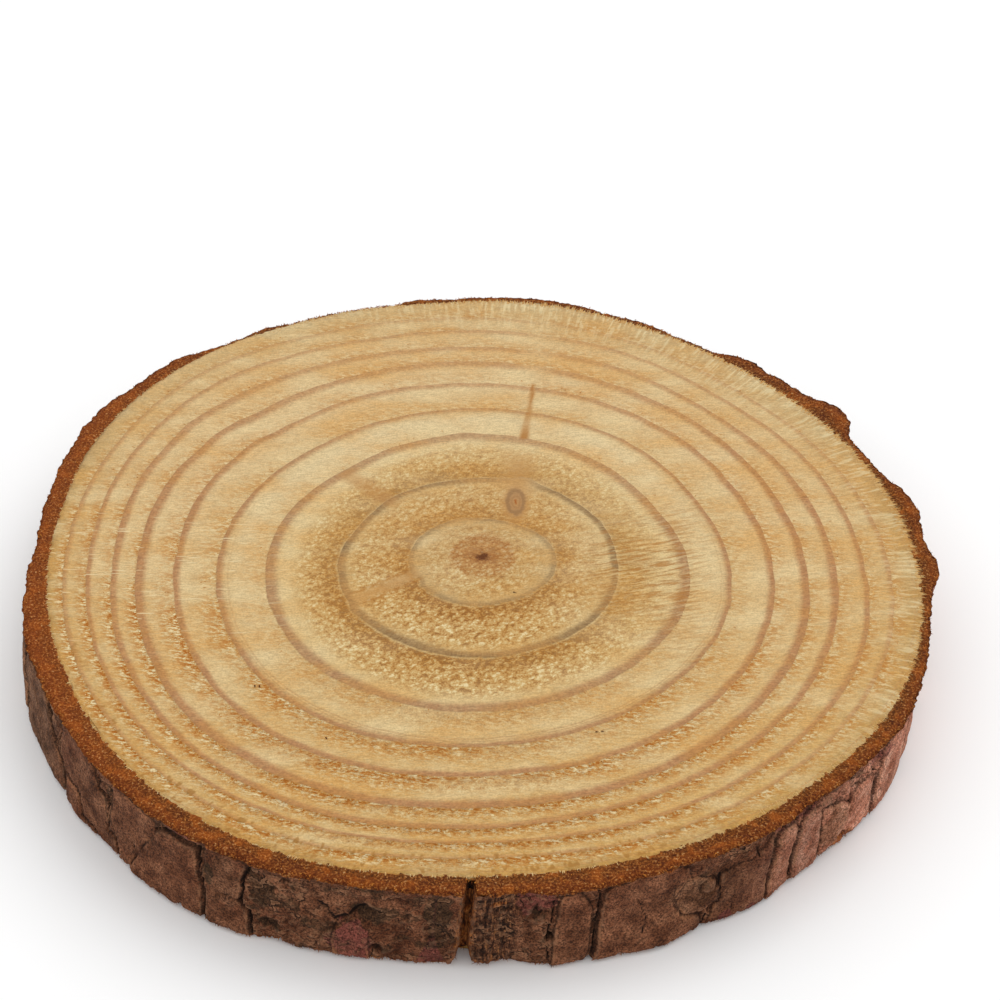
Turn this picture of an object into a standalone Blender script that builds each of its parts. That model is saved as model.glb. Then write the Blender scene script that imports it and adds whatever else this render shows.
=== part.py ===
"""A slice sawn across a small conifer trunk, lying flat with its bark on.

Wood and bark grew as one body, so the slice is one closed mesh. Angles are in degrees round the
pith, anticlockwise seen from above, with 0 to the right (+X) and -90 to the front (-Y), where the
crack in the bark is. Heights are in millimetres above the surface that the slice lies on.
"""

import math
import random

import bmesh
import bpy
from mathutils import noise

MM = 0.001

# Sizes of the whole slice, in millimetres
THICKNESS = 13.4
PITH = (0.716, -0.155)  # where the pith stands from the middle of the whole slice
SLANT = 1.2  # the cut is a little off square, so the lower face lies this far to the left

# Outer edge of the bark on the upper face: angle and radius from the pith, in degrees and millimetres
RIM = (
    (-180, 59.6), (-172, 59.9), (-166, 60.6), (-158, 60.3), (-150, 60.4), (-142, 60.7), (-135, 61.0),
    (-126, 61.4), (-118, 61.4), (-112, 61.0), (-105, 60.4), (-97, 60.1), (-90, 60.1), (-86, 59.8),
    (-80, 60.5), (-72, 60.1), (-64, 60.3), (-56, 60.8), (-48, 60.3), (-40, 60.7), (-32, 61.0),
    (-25, 60.5), (-18, 59.7), (-10, 59.0), (-6, 59.3), (-2, 60.3), (3, 59.1), (9, 59.5), (14, 58.9),
    (16, 57.9), (22, 57.2), (27, 57.2), (29, 58.7), (31.5, 59.8), (34, 59.6), (37, 58.2), (44, 57.9),
    (50, 58.1), (54, 56.7), (58, 56.7), (65, 57.9), (71, 58.4), (76, 59.3), (84, 59.6), (90, 59.6),
    (95, 59.3), (100, 59.8), (103, 59.1), (112, 59.6), (119, 60.0), (122, 60.9), (128, 60.8),
    (132, 61.6), (136, 62.8), (143, 62.5), (149, 63.1), (157, 62.0), (164, 61.2), (170, 60.2),
    (175, 59.6),
)

# Border between wood and bark, and the outer edge of each year's dark wood: radii in millimetres at
# sixteen even angles, starting at 0 and going anticlockwise
WOOD_EDGE = (57.4, 56.0, 55.5, 56.8, 58.6, 59.6, 60.4, 58.9, 57.6, 57.7, 58.7, 58.7, 57.5, 57.7, 58.7, 58.7)
YEAR_RINGS = (
    (9.7, 9.0, 8.2, 7.7, 7.7, 8.3, 8.7, 9.1, 9.7, 9.8, 10.0, 10.0, 10.0, 9.8, 9.9, 10.0),
    (17.8, 17.3, 16.8, 16.8, 16.4, 16.6, 17.3, 17.5, 18.9, 19.5, 19.9, 19.9, 19.9, 19.5, 19.3, 18.7),
    (27.0, 25.4, 25.4, 25.8, 26.2, 26.4, 26.3, 27.5, 28.5, 29.3, 30.1, 30.0, 29.8, 29.2, 28.7, 28.3),
    (32.5, 31.2, 31.5, 31.8, 32.1, 32.5, 32.9, 34.1, 34.9, 35.8, 36.8, 36.8, 36.0, 35.3, 34.5, 33.9),
    (38.2, 37.2, 37.4, 37.6, 38.0, 39.0, 39.4, 40.6, 40.6, 41.4, 42.5, 42.2, 41.0, 40.9, 40.4, 39.5),
    (42.6, 41.6, 41.6, 42.3, 43.3, 43.9, 44.7, 45.9, 45.6, 46.5, 47.7, 47.5, 46.4, 46.0, 45.2, 44.3),
    (46.5, 45.5, 44.9, 46.2, 46.8, 48.1, 49.8, 49.9, 48.9, 49.7, 50.7, 51.0, 49.7, 49.1, 48.7, 47.9),
    (50.3, 49.3, 48.5, 50.0, 51.0, 52.0, 54.2, 53.3, 52.2, 52.6, 53.5, 53.4, 52.1, 52.3, 52.3, 52.1),
    (53.6, 52.2, 51.4, 53.0, 54.2, 55.6, 57.5, 56.4, 55.3, 55.4, 56.1, 56.1, 54.5, 55.0, 55.2, 55.0),
)
RING_STEP = 0.35  # the saw leaves each year's hard dark wood proud of the soft wood outside it
RING_SHOULDER = 0.5  # run of the steep side of that step
PITH_DIMPLE = 0.4

# Plates of outer bark on the sides seen from the front: how far each stands out in millimetres, and
# its corners as angle and height
PLATES = (
    (0.9, ((-178, 0), (-178, 9), (-171, 12), (-165, 12.4), (-164, 6), (-165, 0))),
    (0.9, ((-163, 12.4), (-156.8, 12.4), (-153.8, 9.6), (-153, 7.2), (-150.8, 5.2), (-149.4, 4.2),
           (-149.2, 0), (-163, 0))),
    (0.6, ((-149.4, 12.6), (-142.4, 13), (-140.4, 9.4), (-138.4, 8.6), (-137.9, 4), (-136.8, 3.2),
           (-136.2, 0), (-148.6, 0), (-148.6, 4.2), (-150, 7), (-149.4, 10.5))),
    (1.1, ((-148, 4.6), (-144.4, 4.7), (-143.6, 2.6), (-142.8, 1.2), (-140.6, 0.9), (-140.4, 0),
           (-148.2, 0))),
    (0.4, ((-137.2, 12.4), (-129, 11.6), (-129.5, 9), (-131, 7), (-133, 3), (-134, 0), (-135.5, 0),
           (-136.4, 3.4), (-137.2, 6))),
    (1.1, ((-128.2, 11.2), (-127, 11.8), (-123.3, 11.3), (-122.9, 9), (-122.2, 5.5), (-122, 0),
           (-133, 0), (-133.4, 1), (-132.3, 4.4), (-130.6, 7.2), (-129, 10.2))),
    (0.9, ((-122, 12.6), (-121, 13.2), (-119.6, 13), (-117.2, 12.8), (-116.7, 12.3), (-117.3, 7),
           (-117.3, 5.6), (-116.4, 4.6), (-115.6, 0), (-121.4, 0), (-121.7, 5), (-122, 9.5))),
    (0.4, ((-106, 5.4), (-104.6, 6.7), (-102, 5.6), (-101.6, 0.3), (-106, 0.3))),
    (0.4, ((-86, 8), (-81.8, 9), (-81.8, 0.6), (-86, 0.6))),
    (0.7, ((-80.9, 12.4), (-79, 12.8), (-77.8, 11.2), (-77, 9), (-76.8, 0), (-81, 0))),
    (1.2, ((-76, 11.8), (-74.9, 12.6), (-72.8, 13), (-69, 13.1), (-65.6, 12.2), (-65.4, 10),
           (-67.2, 7.5), (-66, 4), (-63.6, 2.8), (-62.8, 1), (-63.2, 0), (-76, 0))),
    (0.8, ((-67.2, 9.6), (-64.5, 9.8), (-61.6, 8), (-61, 4.5), (-63.2, 3.1), (-65.6, 4), (-67, 6))),
    (0.7, ((-61, 9), (-57, 9.4), (-54.6, 11.6), (-54.4, 0), (-62, 0), (-61.5, 3))),
    (1.0, ((-53.8, 10.8), (-53, 11.6), (-51.4, 11.6), (-50.7, 10.4), (-50.5, 0), (-54, 0))),
    (1.1, ((-49.9, 10.4), (-48.8, 11.4), (-46.8, 11.2), (-46.2, 9.4), (-45.4, 0), (-50, 0))),
    (1.2, ((-45.9, 9.4), (-42.6, 8.7), (-41.3, 7.8), (-41.6, 3.8), (-42.8, 2), (-45, 1))),
    (0.8, ((-41, 9), (-38, 9.5), (-36, 8.2), (-35.4, 1), (-39, 0.8), (-41.5, 3))),
    (1.1, ((-35.2, 12), (-33, 13), (-30, 12.6), (-27, 9), (-26, 0), (-34.8, 0))),
    (0.7, ((-25, 12), (-18, 12.4), (-15, 5), (-16, 0), (-25.2, 0))),
)

# Fissures between the plates: width and depth in millimetres, and the route as angle and height
FISSURES = (
    (0.5, 0.8, ((-166, 13.4), (-168, 9), (-171.5, 4), (-174, 0))),
    (0.6, 0.9, ((-157, 13.2), (-156.4, 12), (-154.6, 10.6), (-153.4, 9.4))),
    (0.5, 0.9, ((-150.3, 13.2), (-149.8, 12), (-149.7, 10.2), (-150.4, 8), (-150.7, 6), (-149.2, 4.8),
                (-148.9, 2.4), (-148.7, 0))),
    (0.5, 0.6, ((-148.4, 5), (-144.2, 4.7), (-143.7, 3.2), (-143.2, 1.4), (-140.6, 1), (-140.3, 0))),
    (0.5, 1.0, ((-142, 13.4), (-141.4, 12.2), (-140, 10.1), (-140.2, 9.1), (-138.5, 9.2), (-137.8, 8.4),
                (-137.6, 5.4), (-138.2, 3.5), (-136.7, 3.2), (-136, 0))),
    (0.5, 1.0, ((-129.2, 10.6), (-128.3, 11.4), (-127, 12.1), (-124, 12.1), (-123, 11.3), (-122.6, 9),
                (-121.9, 6), (-121.6, 4), (-121.9, 0))),
    (0.5, 0.9, ((-119.9, 13.5), (-119, 13.2), (-116.8, 13), (-116.3, 12.2), (-117, 9.4), (-117.1, 5.8),
                (-116.2, 4.6), (-115.8, 2.6), (-115.3, 0))),
    (0.7, 0.5, ((-108, 8.6), (-106, 6.6), (-104.4, 7.6), (-102.6, 9.2), (-100.6, 8.6))),
    (0.4, 0.8, ((-81.4, 13.2), (-81.5, 8), (-81.6, 5), (-81.3, 0))),
    (0.4, 1.0, ((-77.6, 13.4), (-76.7, 12.8), (-76.3, 10.6), (-76.2, 5.4), (-76.4, 3.4), (-76.2, 0))),
    (0.4, 0.5, ((-61.2, 9), (-60.9, 5), (-62, 2.8), (-62.6, 0))),
    (0.4, 0.8, ((-57, 13.6), (-56.8, 12), (-56.4, 9.2))),
    (0.4, 0.5, ((-54.3, 11.6), (-54.2, 0))),
    (0.6, 1.4, ((-53.2, 12.1), (-51, 12.2), (-50.4, 10), (-50.3, 5), (-50.4, 0))),
    (0.7, 1.2, ((-50, 12), (-48, 12.3), (-45, 11.8))),
    (0.4, 0.6, ((-46.2, 9.6), (-46, 6.6), (-45.3, 2.6))),
    (0.4, 0.8, ((-41.3, 8), (-41.5, 3), (-43, 1.8))),
    (0.4, 0.7, ((-37.6, 10.6), (-36.6, 9.4), (-35.4, 8.6), (-35.2, 1))),
    (0.4, 0.5, ((-33.6, 9.4), (-33, 7.2), (-31.8, 3))),
    (0.5, 0.9, ((-26.6, 13), (-25.6, 8), (-25.4, 0))),
)

# The other sides carry plates of the same kind, laid side by side from a seeded draw
GROWN_FROM, GROWN_TO = -14.0, 181.5
BARK_SEED = 11

# The drying crack through the bark at the front
CRACK_ANGLE = -91.1
CRACK_HALF_WIDTH = 0.45
CRACK_DEPTH = 2.3
CRACK_FOOT = 0.5  # extra half width where it opens at the lower edge
CRACK_FOOT_HEIGHT = 2.4

BARK_LUMPS = 0.3  # height of the swells that run over plates and gaps alike
LUMP_SIZE = 6.0
PLATE_BEVEL = 0.45  # run of a plate's edge, as wide as this mesh can hold
FISSURE_LEAST = 0.7  # narrower fissures are drawn this wide here
CHIPPED_ARRIS = 0.45  # the lower edge of the bark is broken away this much
SOFT_BARK_DROP = 0.25  # the cut bark lies this much under the wood
BORDER_RUN = 0.12  # run of the small step between them
RIM_ROUNDING = 0.15

# Mesh density
BARK_COLUMNS = 288
RING_COLUMNS = 96
WALL_HEIGHTS = (0.0, 0.45, 2.2, 4.2, 6.4, 8.6, 10.6, 12.0, 12.95)

WOOD_COLOUR = (0.72, 0.52, 0.28, 1.0)
BARK_COLOUR = (0.12, 0.055, 0.03, 1.0)


def smooth_step(x):
    x = min(max(x, 0.0), 1.0)
    return x * x * (3.0 - 2.0 * x)


def round_curve(knots, angle):
    """Value at an angle on a closed curve through (angle, value) knots that lie in order."""
    first = knots[0][0]
    angle = first + (angle - first) % 360.0
    count = len(knots)
    after = next((i for i, knot in enumerate(knots) if knot[0] > angle), count)
    places = [(knots[i % count][0] + 360.0 * (i // count), knots[i % count][1])
              for i in range(after - 2, after + 2)]
    (a0, v0), (a1, v1), (a2, v2), (a3, v3) = places
    span = a2 - a1
    t = (angle - a1) / span
    slope_1 = (v2 - v0) / (a2 - a0) * span
    slope_2 = (v3 - v1) / (a3 - a1) * span
    return (v1 * (2 * t**3 - 3 * t**2 + 1) + v2 * (3 * t**2 - 2 * t**3)
            + slope_1 * (t**3 - 2 * t**2 + t) + slope_2 * (t**3 - t**2))


def even_knots(radii):
    """Radii at even angles as the knots of a closed curve."""
    return [(360.0 * i / len(radii), radius) for i, radius in enumerate(radii)]


WOOD_KNOTS = even_knots(WOOD_EDGE)
RING_KNOTS = [even_knots(radii) for radii in YEAR_RINGS]


def rim_radius(angle):
    return round_curve(RIM, angle)


MM_PER_DEGREE = 60.0 * math.pi / 180.0  # along the bark


def on_bark(angle, height):
    """A place on the unrolled bark, in millimetres along and up."""
    return (angle * MM_PER_DEGREE, height)


def distance_to_line(point, start, end):
    across, up = end[0] - start[0], end[1] - start[1]
    along = ((point[0] - start[0]) * across + (point[1] - start[1]) * up) / (across**2 + up**2)
    along = min(max(along, 0.0), 1.0)
    return math.hypot(point[0] - start[0] - along * across, point[1] - start[1] - along * up)


def distance_to_route(point, route):
    return min(distance_to_line(point, start, end) for start, end in zip(route, route[1:]))


def is_inside(point, corners):
    inside = False
    for (x1, y1), (x2, y2) in zip(corners, corners[1:] + corners[:1]):
        if (y1 > point[1]) != (y2 > point[1]):
            if point[0] < x1 + (point[1] - y1) / (y2 - y1) * (x2 - x1):
                inside = not inside
    return inside


def grown_bark():
    """Plates and fissures for the sides away from the front, as PLATES and FISSURES give them."""
    draw = random.Random(BARK_SEED)
    plates = []
    fissures = []
    left = GROWN_FROM
    while left < GROWN_TO - 4.0:
        width = min(draw.uniform(4.0, 10.5), GROWN_TO - left)
        top = draw.uniform(10.4, 13.1)
        lean = draw.uniform(-1.2, 1.2)
        stands_out = draw.uniform(0.4, 1.25)
        right = left + width
        split = draw.uniform(3.5, 9.0)
        corners = ((left + 0.3, 0), (left + 0.3 + lean, top - 1.6), (left + 0.3 * width + lean, top),
                   (right - 1.2 + lean, top - 0.7), (right - 0.3 + 0.5 * lean, top * 0.5), (right - 0.3, 0))
        plates.append((stands_out, corners))
        fissures.append((0.45, draw.uniform(0.5, 1.1),
                         ((left, 0), (left + 0.5 * lean, 0.5 * top), (left + lean, top - 1.0),
                          (left + 0.3 * width + lean, top + 0.6))))
        if width > 6.0:
            middle = left + draw.uniform(0.4, 0.6) * width
            plates.append((stands_out + 0.35, ((left + 0.5, 0), (left + 0.5 + 0.4 * lean, split),
                                               (middle, split + 0.8), (middle + 0.4, 0))))
            fissures.append((0.4, 0.5, ((left + 0.4, split + 0.3), (middle, split + 1.1), (middle + 0.7, 0))))
        left = right
    return plates, fissures


def laid_out(shapes):
    """The same shapes on the unrolled bark, in millimetres."""
    return [shape[:-1] + ([on_bark(*corner) for corner in shape[-1]],) for shape in shapes]


MORE_PLATES, MORE_FISSURES = grown_bark()
ALL_PLATES = laid_out(list(PLATES) + MORE_PLATES)
ALL_FISSURES = laid_out(list(FISSURES) + MORE_FISSURES)


def plate_height(point):
    """How far the plates stand out at a place: the tallest one there counts."""
    best = 0.0
    for stands_out, corners in ALL_PLATES:
        if not min(x for x, _ in corners) - 1.0 < point[0] < max(x for x, _ in corners) + 1.0:
            continue
        depth = distance_to_route(point, corners + corners[:1])
        if not is_inside(point, corners):
            depth = -depth
        best = max(best, stands_out * smooth_step(0.5 + depth / PLATE_BEVEL))
    return best


def fissure_depth(point):
    deepest = 0.0
    for width, depth, route in ALL_FISSURES:
        half = 0.5 * max(width, FISSURE_LEAST)
        away = distance_to_route(point, route)
        deepest = max(deepest, depth * smooth_step(1.5 - away / half))
    return deepest


def crack_depth(angle, height):
    """The crack is a narrow cut to the wood that opens out at the lower edge."""
    half = CRACK_HALF_WIDTH + CRACK_FOOT * smooth_step(1.0 - height / CRACK_FOOT_HEIGHT)
    away = abs(angle - CRACK_ANGLE) * MM_PER_DEGREE
    return CRACK_DEPTH * smooth_step(1.5 - away / half)


def bark_radius(angle, height):
    """Radius of the outer bark from the trunk's own line, at an angle and a height."""
    wrapped = (angle + 180.0) % 360.0 - 180.0
    point = on_bark(wrapped, height)
    place = (math.cos(math.radians(angle)) * 60.0, math.sin(math.radians(angle)) * 60.0, height)
    lumps = BARK_LUMPS * noise.noise([value / LUMP_SIZE for value in place])
    under_rim = smooth_step((THICKNESS - height) / 1.6)
    relief = under_rim * (plate_height(point) - 0.35) - fissure_depth(point) * (0.4 + 0.6 * under_rim)
    radius = rim_radius(angle) + lumps + relief
    return max(radius - crack_depth(wrapped, height), round_curve(WOOD_KNOTS, angle) + 0.25)


def placed(angle, radius, height):
    """A vertex in metres, from its place round the pith in degrees and millimetres."""
    turn = math.radians(angle)
    slide = -SLANT * (1.0 - height / THICKNESS)
    x = PITH[0] + slide + radius * math.cos(turn)
    y = PITH[1] + radius * math.sin(turn)
    return (x * MM, y * MM, height * MM)


def even_angles(count):
    return [-180.0 + 360.0 * i / count for i in range(count)]


def bark_angles():
    """Even columns, with those at the crack drawn together so that it stays narrow."""
    near = 3.2
    angles = [a for a in even_angles(BARK_COLUMNS) if abs(a - CRACK_ANGLE) > near]
    angles += [CRACK_ANGLE + offset for offset in (-2.2, -1.2, -0.7, -0.35, 0.0, 0.35, 0.7, 1.2, 2.2)]
    return sorted(angles)


def add_loop(mesh, angles, radii, height):
    """A closed loop of vertices at one height, each kept with its angle for the stitching."""
    return [(angle, mesh.verts.new(placed(angle, radius, height))) for angle, radius in zip(angles, radii)]


def stitch(mesh, lower, upper):
    """Triangles between two loops round the pith, which may have different numbers of vertices."""
    i = j = 0
    while i < len(lower) or j < len(upper):
        next_lower = lower[i + 1][0] if i + 1 < len(lower) else lower[0][0] + 360.0
        next_upper = upper[j + 1][0] if j + 1 < len(upper) else upper[0][0] + 360.0
        low = lower[i % len(lower)][1]
        high = upper[j % len(upper)][1]
        if j >= len(upper) or (i < len(lower) and next_lower <= next_upper):
            i += 1
            mesh.faces.new((low, lower[i % len(lower)][1], high))
        else:
            j += 1
            mesh.faces.new((low, upper[j % len(upper)][1], high))


def close_with_fan(mesh, loop, centre):
    for (_, vertex), (_, following) in zip(loop, loop[1:] + loop[:1]):
        mesh.faces.new((vertex, following, centre))


def wall_loops(mesh, angles):
    """Loops up the outside of the bark, from the flat foot to the rim of the upper face."""
    loops = []
    for height in WALL_HEIGHTS:
        inset = CHIPPED_ARRIS if height == 0.0 else 0.0
        radii = [bark_radius(angle, height) - inset for angle in angles]
        loops.append(add_loop(mesh, angles, radii, height))
    radii = [bark_radius(angle, THICKNESS) - RIM_ROUNDING for angle in angles]
    loops.append(add_loop(mesh, angles, radii, THICKNESS - 0.6 * SOFT_BARK_DROP))
    return loops


def upper_face_loops(mesh, angles):
    """Loops over the sawn face, from the cut bark inwards over each year's step to the first ring."""
    wood_edge = [round_curve(WOOD_KNOTS, angle) for angle in angles]
    inner_bark = [radius + BORDER_RUN for radius in wood_edge]
    loops = [
        add_loop(mesh, angles, inner_bark, THICKNESS - SOFT_BARK_DROP),
        add_loop(mesh, angles, wood_edge, THICKNESS - 0.3 * RING_STEP),
    ]
    ring_angles = even_angles(RING_COLUMNS)
    for knots in reversed(RING_KNOTS):
        crest = [round_curve(knots, angle) for angle in ring_angles]
        foot = [radius + RING_SHOULDER for radius in crest]
        loops.append(add_loop(mesh, ring_angles, foot, THICKNESS - RING_STEP))
        loops.append(add_loop(mesh, ring_angles, crest, THICKNESS))
    return loops


def add_material(name, colour, roughness):
    material = bpy.data.materials.new(name)
    material.use_nodes = True
    shader = material.node_tree.nodes["Principled BSDF"]
    shader.inputs["Base Color"].default_value = colour
    shader.inputs["Roughness"].default_value = roughness
    shader.inputs["Metallic"].default_value = 0.0
    return material


def build_slice():
    mesh = bmesh.new()
    angles = bark_angles()
    loops = wall_loops(mesh, angles) + upper_face_loops(mesh, angles)
    for lower, upper in zip(loops, loops[1:]):
        stitch(mesh, lower, upper)
    pith = mesh.verts.new(placed(0.0, 0.0, THICKNESS - PITH_DIMPLE))
    close_with_fan(mesh, loops[-1], pith)
    mesh.faces.new([vertex for _, vertex in reversed(loops[0])])

    wall_top = (THICKNESS - SOFT_BARK_DROP) * MM
    for face in mesh.faces:
        wood = face.calc_center_median().z > wall_top or len(face.verts) > 4
        face.material_index = 0 if wood else 1

    data = bpy.data.meshes.new("wood_slice")
    mesh.to_mesh(data)
    mesh.free()
    wood_slice = bpy.data.objects.new("wood_slice", data)
    data.materials.append(add_material("sawn conifer wood", WOOD_COLOUR, 0.8))
    data.materials.append(add_material("conifer bark", BARK_COLOUR, 0.9))
    bpy.context.collection.objects.link(wood_slice)
    return wood_slice


for old in list(bpy.data.objects):
    bpy.data.objects.remove(old)

slice_object = build_slice()
corners = [vertex.co for vertex in slice_object.data.vertices]
for axis, name in enumerate("XYZ"):
    low = min(corner[axis] for corner in corners) / MM
    high = max(corner[axis] for corner in corners) / MM
    print(f"{name} from {low:.2f} to {high:.2f} mm, middle {0.5 * (low + high):.3f}")
print(f"{sum(len(face.vertices) - 2 for face in slice_object.data.polygons)} triangles")
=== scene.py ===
# %% [markdown]
# A round slice sawn across a young conifer trunk, lying on a pale floor. It grew as one body, yet
# it has three looks: the sawn wood, the bark round it, and the loose fibres that the saw tore up.
# Each becomes a closed mesh of its own here, so each can have the density and material it needs.
# The CAD solid has the same outline, rings, plates and crack, so its named values come back below.

# %% Load the frame
import random

import bpy
import numpy as np
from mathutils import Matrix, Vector, noise


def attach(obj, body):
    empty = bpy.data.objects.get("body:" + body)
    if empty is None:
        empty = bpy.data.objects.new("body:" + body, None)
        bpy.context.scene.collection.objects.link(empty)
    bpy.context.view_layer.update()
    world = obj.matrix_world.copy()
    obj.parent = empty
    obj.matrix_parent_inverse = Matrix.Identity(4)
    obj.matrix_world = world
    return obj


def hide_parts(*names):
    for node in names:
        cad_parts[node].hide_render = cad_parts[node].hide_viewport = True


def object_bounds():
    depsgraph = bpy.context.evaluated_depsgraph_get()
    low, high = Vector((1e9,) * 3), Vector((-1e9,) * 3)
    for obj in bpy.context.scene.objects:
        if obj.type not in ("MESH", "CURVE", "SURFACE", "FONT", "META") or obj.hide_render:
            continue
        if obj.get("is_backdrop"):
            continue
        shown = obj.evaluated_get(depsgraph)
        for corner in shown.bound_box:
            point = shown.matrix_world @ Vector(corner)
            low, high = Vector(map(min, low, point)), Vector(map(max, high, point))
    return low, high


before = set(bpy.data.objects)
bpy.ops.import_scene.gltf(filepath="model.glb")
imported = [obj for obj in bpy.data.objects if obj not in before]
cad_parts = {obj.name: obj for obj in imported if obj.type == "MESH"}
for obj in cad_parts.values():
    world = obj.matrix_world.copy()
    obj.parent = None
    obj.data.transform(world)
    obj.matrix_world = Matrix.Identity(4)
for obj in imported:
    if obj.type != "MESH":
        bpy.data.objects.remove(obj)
cad_low, cad_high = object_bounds()
cad_box = [list(cad_low), list(cad_high)]
print("CAD box in metres:", cad_box)

# %% [markdown]
# A trunk grows in rings round its pith, so every place on the slice is an angle, a radius and a
# height. Angles are in degrees, anticlockwise seen from above, with 0 to the right and -90 to the
# front, where the bark has its drying crack. Radii and heights are in millimetres, which suit
# wood better than Blender's metres, and one function turns them into metres at the very end.

# %% Places round the pith
MM = 0.001
THICKNESS = 13.4
PITH = (0.716, -0.155)
SLANT = 1.2  # the cut is a little off square, so the lower face lies this far to the left


def placed(angle, radius, height):
    """Places in metres, from degrees and millimetres round the pith."""
    turn = np.radians(angle)
    slide = -SLANT * (1.0 - height / THICKNESS)
    x = PITH[0] + slide + radius * np.cos(turn)
    y = PITH[1] + radius * np.sin(turn)
    return np.stack((x, y, height + 0.0 * x), axis=-1) * MM


def angle_apart(angle, centre):
    """Degrees from a centre line, negative on its clockwise side."""
    return (angle - centre + 180.0) % 360.0 - 180.0


def smooth_step(x):
    x = np.clip(x, 0.0, 1.0)
    return x * x * (3.0 - 2.0 * x)


def near(angle, centre, half_width):
    """1 at the centre line, falling smoothly to 0 at the half width in degrees."""
    return smooth_step(1.0 - np.abs(angle_apart(angle, centre)) / half_width)


def round_curve(knots, angle):
    """Value at each angle on a closed curve through (angle, value) knots that lie in order."""
    at, value = np.array(knots, dtype=float).T
    angle = at[0] + (angle - at[0]) % 360.0
    at = np.concatenate((at[-2:] - 360.0, at, at[:2] + 360.0))
    value = np.concatenate((value[-2:], value, value[:2]))
    after = np.searchsorted(at, angle, side="right")
    span = at[after] - at[after - 1]
    t = (angle - at[after - 1]) / span
    slope_1 = (value[after] - value[after - 2]) / (at[after] - at[after - 2]) * span
    slope_2 = (value[after + 1] - value[after - 1]) / (at[after + 1] - at[after - 1]) * span
    return (value[after - 1] * (2 * t**3 - 3 * t**2 + 1) + value[after] * (3 * t**2 - 2 * t**3)
            + slope_1 * (t**3 - 2 * t**2 + t) + slope_2 * (t**3 - t**2))


def swells(places, size, number=0):
    """Smooth noise from about -1 to 1 at each place, whose swells have the given size."""
    shifted = np.asarray(places) / np.array(size) + 31.7 * number
    values = [noise.noise(place) for place in shifted.reshape(-1, 3).tolist()]
    return np.array(values).reshape(shifted.shape[:-1])


# %% [markdown]
# These are the outlines that the slice grew with: the rim of the bark, the border between wood
# and bark, and the outer edge of the dark wood of each year. They are the values of the CAD part,
# so the looks keep its dimensions. The first year's ring is the smallest one.

# %% Outlines
RIM = (
    (-180, 59.6), (-172, 59.9), (-166, 60.6), (-158, 60.3), (-150, 60.4), (-142, 60.7), (-135, 61.0),
    (-126, 61.4), (-118, 61.4), (-112, 61.0), (-105, 60.4), (-97, 60.1), (-90, 60.1), (-86, 59.8),
    (-80, 60.5), (-72, 60.1), (-64, 60.3), (-56, 60.8), (-48, 60.3), (-40, 60.7), (-32, 61.0),
    (-25, 60.5), (-18, 59.7), (-10, 59.0), (-6, 59.3), (-2, 60.3), (3, 59.1), (9, 59.5), (14, 58.9),
    (16, 57.9), (22, 57.2), (27, 57.2), (29, 58.7), (31.5, 59.8), (34, 59.6), (37, 58.2), (44, 57.9),
    (50, 58.1), (54, 56.7), (58, 56.7), (65, 57.9), (71, 58.4), (76, 59.3), (84, 59.6), (90, 59.6),
    (95, 59.3), (100, 59.8), (103, 59.1), (112, 59.6), (119, 60.0), (122, 60.9), (128, 60.8),
    (132, 61.6), (136, 62.8), (143, 62.5), (149, 63.1), (157, 62.0), (164, 61.2), (170, 60.2),
    (175, 59.6),
)
WOOD_EDGE = (57.4, 56.0, 55.5, 56.8, 58.6, 59.6, 60.4, 58.9, 57.6, 57.7, 58.7, 58.7, 57.5, 57.7, 58.7, 58.7)
YEAR_RINGS = (
    (9.7, 9.0, 8.2, 7.7, 7.7, 8.3, 8.7, 9.1, 9.7, 9.8, 10.0, 10.0, 10.0, 9.8, 9.9, 10.0),
    (17.8, 17.3, 16.8, 16.8, 16.4, 16.6, 17.3, 17.5, 18.9, 19.5, 19.9, 19.9, 19.9, 19.5, 19.3, 18.7),
    (27.0, 25.4, 25.4, 25.8, 26.2, 26.4, 26.3, 27.5, 28.5, 29.3, 30.1, 30.0, 29.8, 29.2, 28.7, 28.3),
    (32.5, 31.2, 31.5, 31.8, 32.1, 32.5, 32.9, 34.1, 34.9, 35.8, 36.8, 36.8, 36.0, 35.3, 34.5, 33.9),
    (38.2, 37.2, 37.4, 37.6, 38.0, 39.0, 39.4, 40.6, 40.6, 41.4, 42.5, 42.2, 41.0, 40.9, 40.4, 39.5),
    (42.6, 41.6, 41.6, 42.3, 43.3, 43.9, 44.7, 45.9, 45.6, 46.5, 47.7, 47.5, 46.4, 46.0, 45.2, 44.3),
    (46.5, 45.5, 44.9, 46.2, 46.8, 48.1, 49.8, 49.9, 48.9, 49.7, 50.7, 51.0, 49.7, 49.1, 48.7, 47.9),
    (50.3, 49.3, 48.5, 50.0, 51.0, 52.0, 54.2, 53.3, 52.2, 52.6, 53.5, 53.4, 52.1, 52.3, 52.3, 52.1),
    (53.6, 52.2, 51.4, 53.0, 54.2, 55.6, 57.5, 56.4, 55.3, 55.4, 56.1, 56.1, 54.5, 55.0, 55.2, 55.0),
)
YEARS = len(YEAR_RINGS) + 1  # the last year ends at the wood's edge


def even_knots(radii):
    """Radii at even angles as the knots of a closed curve."""
    return [(360.0 * i / len(radii), radius) for i, radius in enumerate(radii)]


def wood_edge(angle):
    return round_curve(even_knots(WOOD_EDGE), angle)


mean_edge = sum(WOOD_EDGE) / len(WOOD_EDGE)
print(f"{YEARS} years of growth, wood {2 * mean_edge:.0f} mm across under the bark")

# %% [markdown]
# Growth isn't even. Where a twig once stood, a ring steps in or out a little, and the dark wood
# that closes a year is a thin line in the first two years and a broad band in the sixth to
# eighth. Two short tables hold both: kinks (ring, angle, half width in degrees, millimetres
# outward) and the share of each year that its dark wood takes up.

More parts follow.
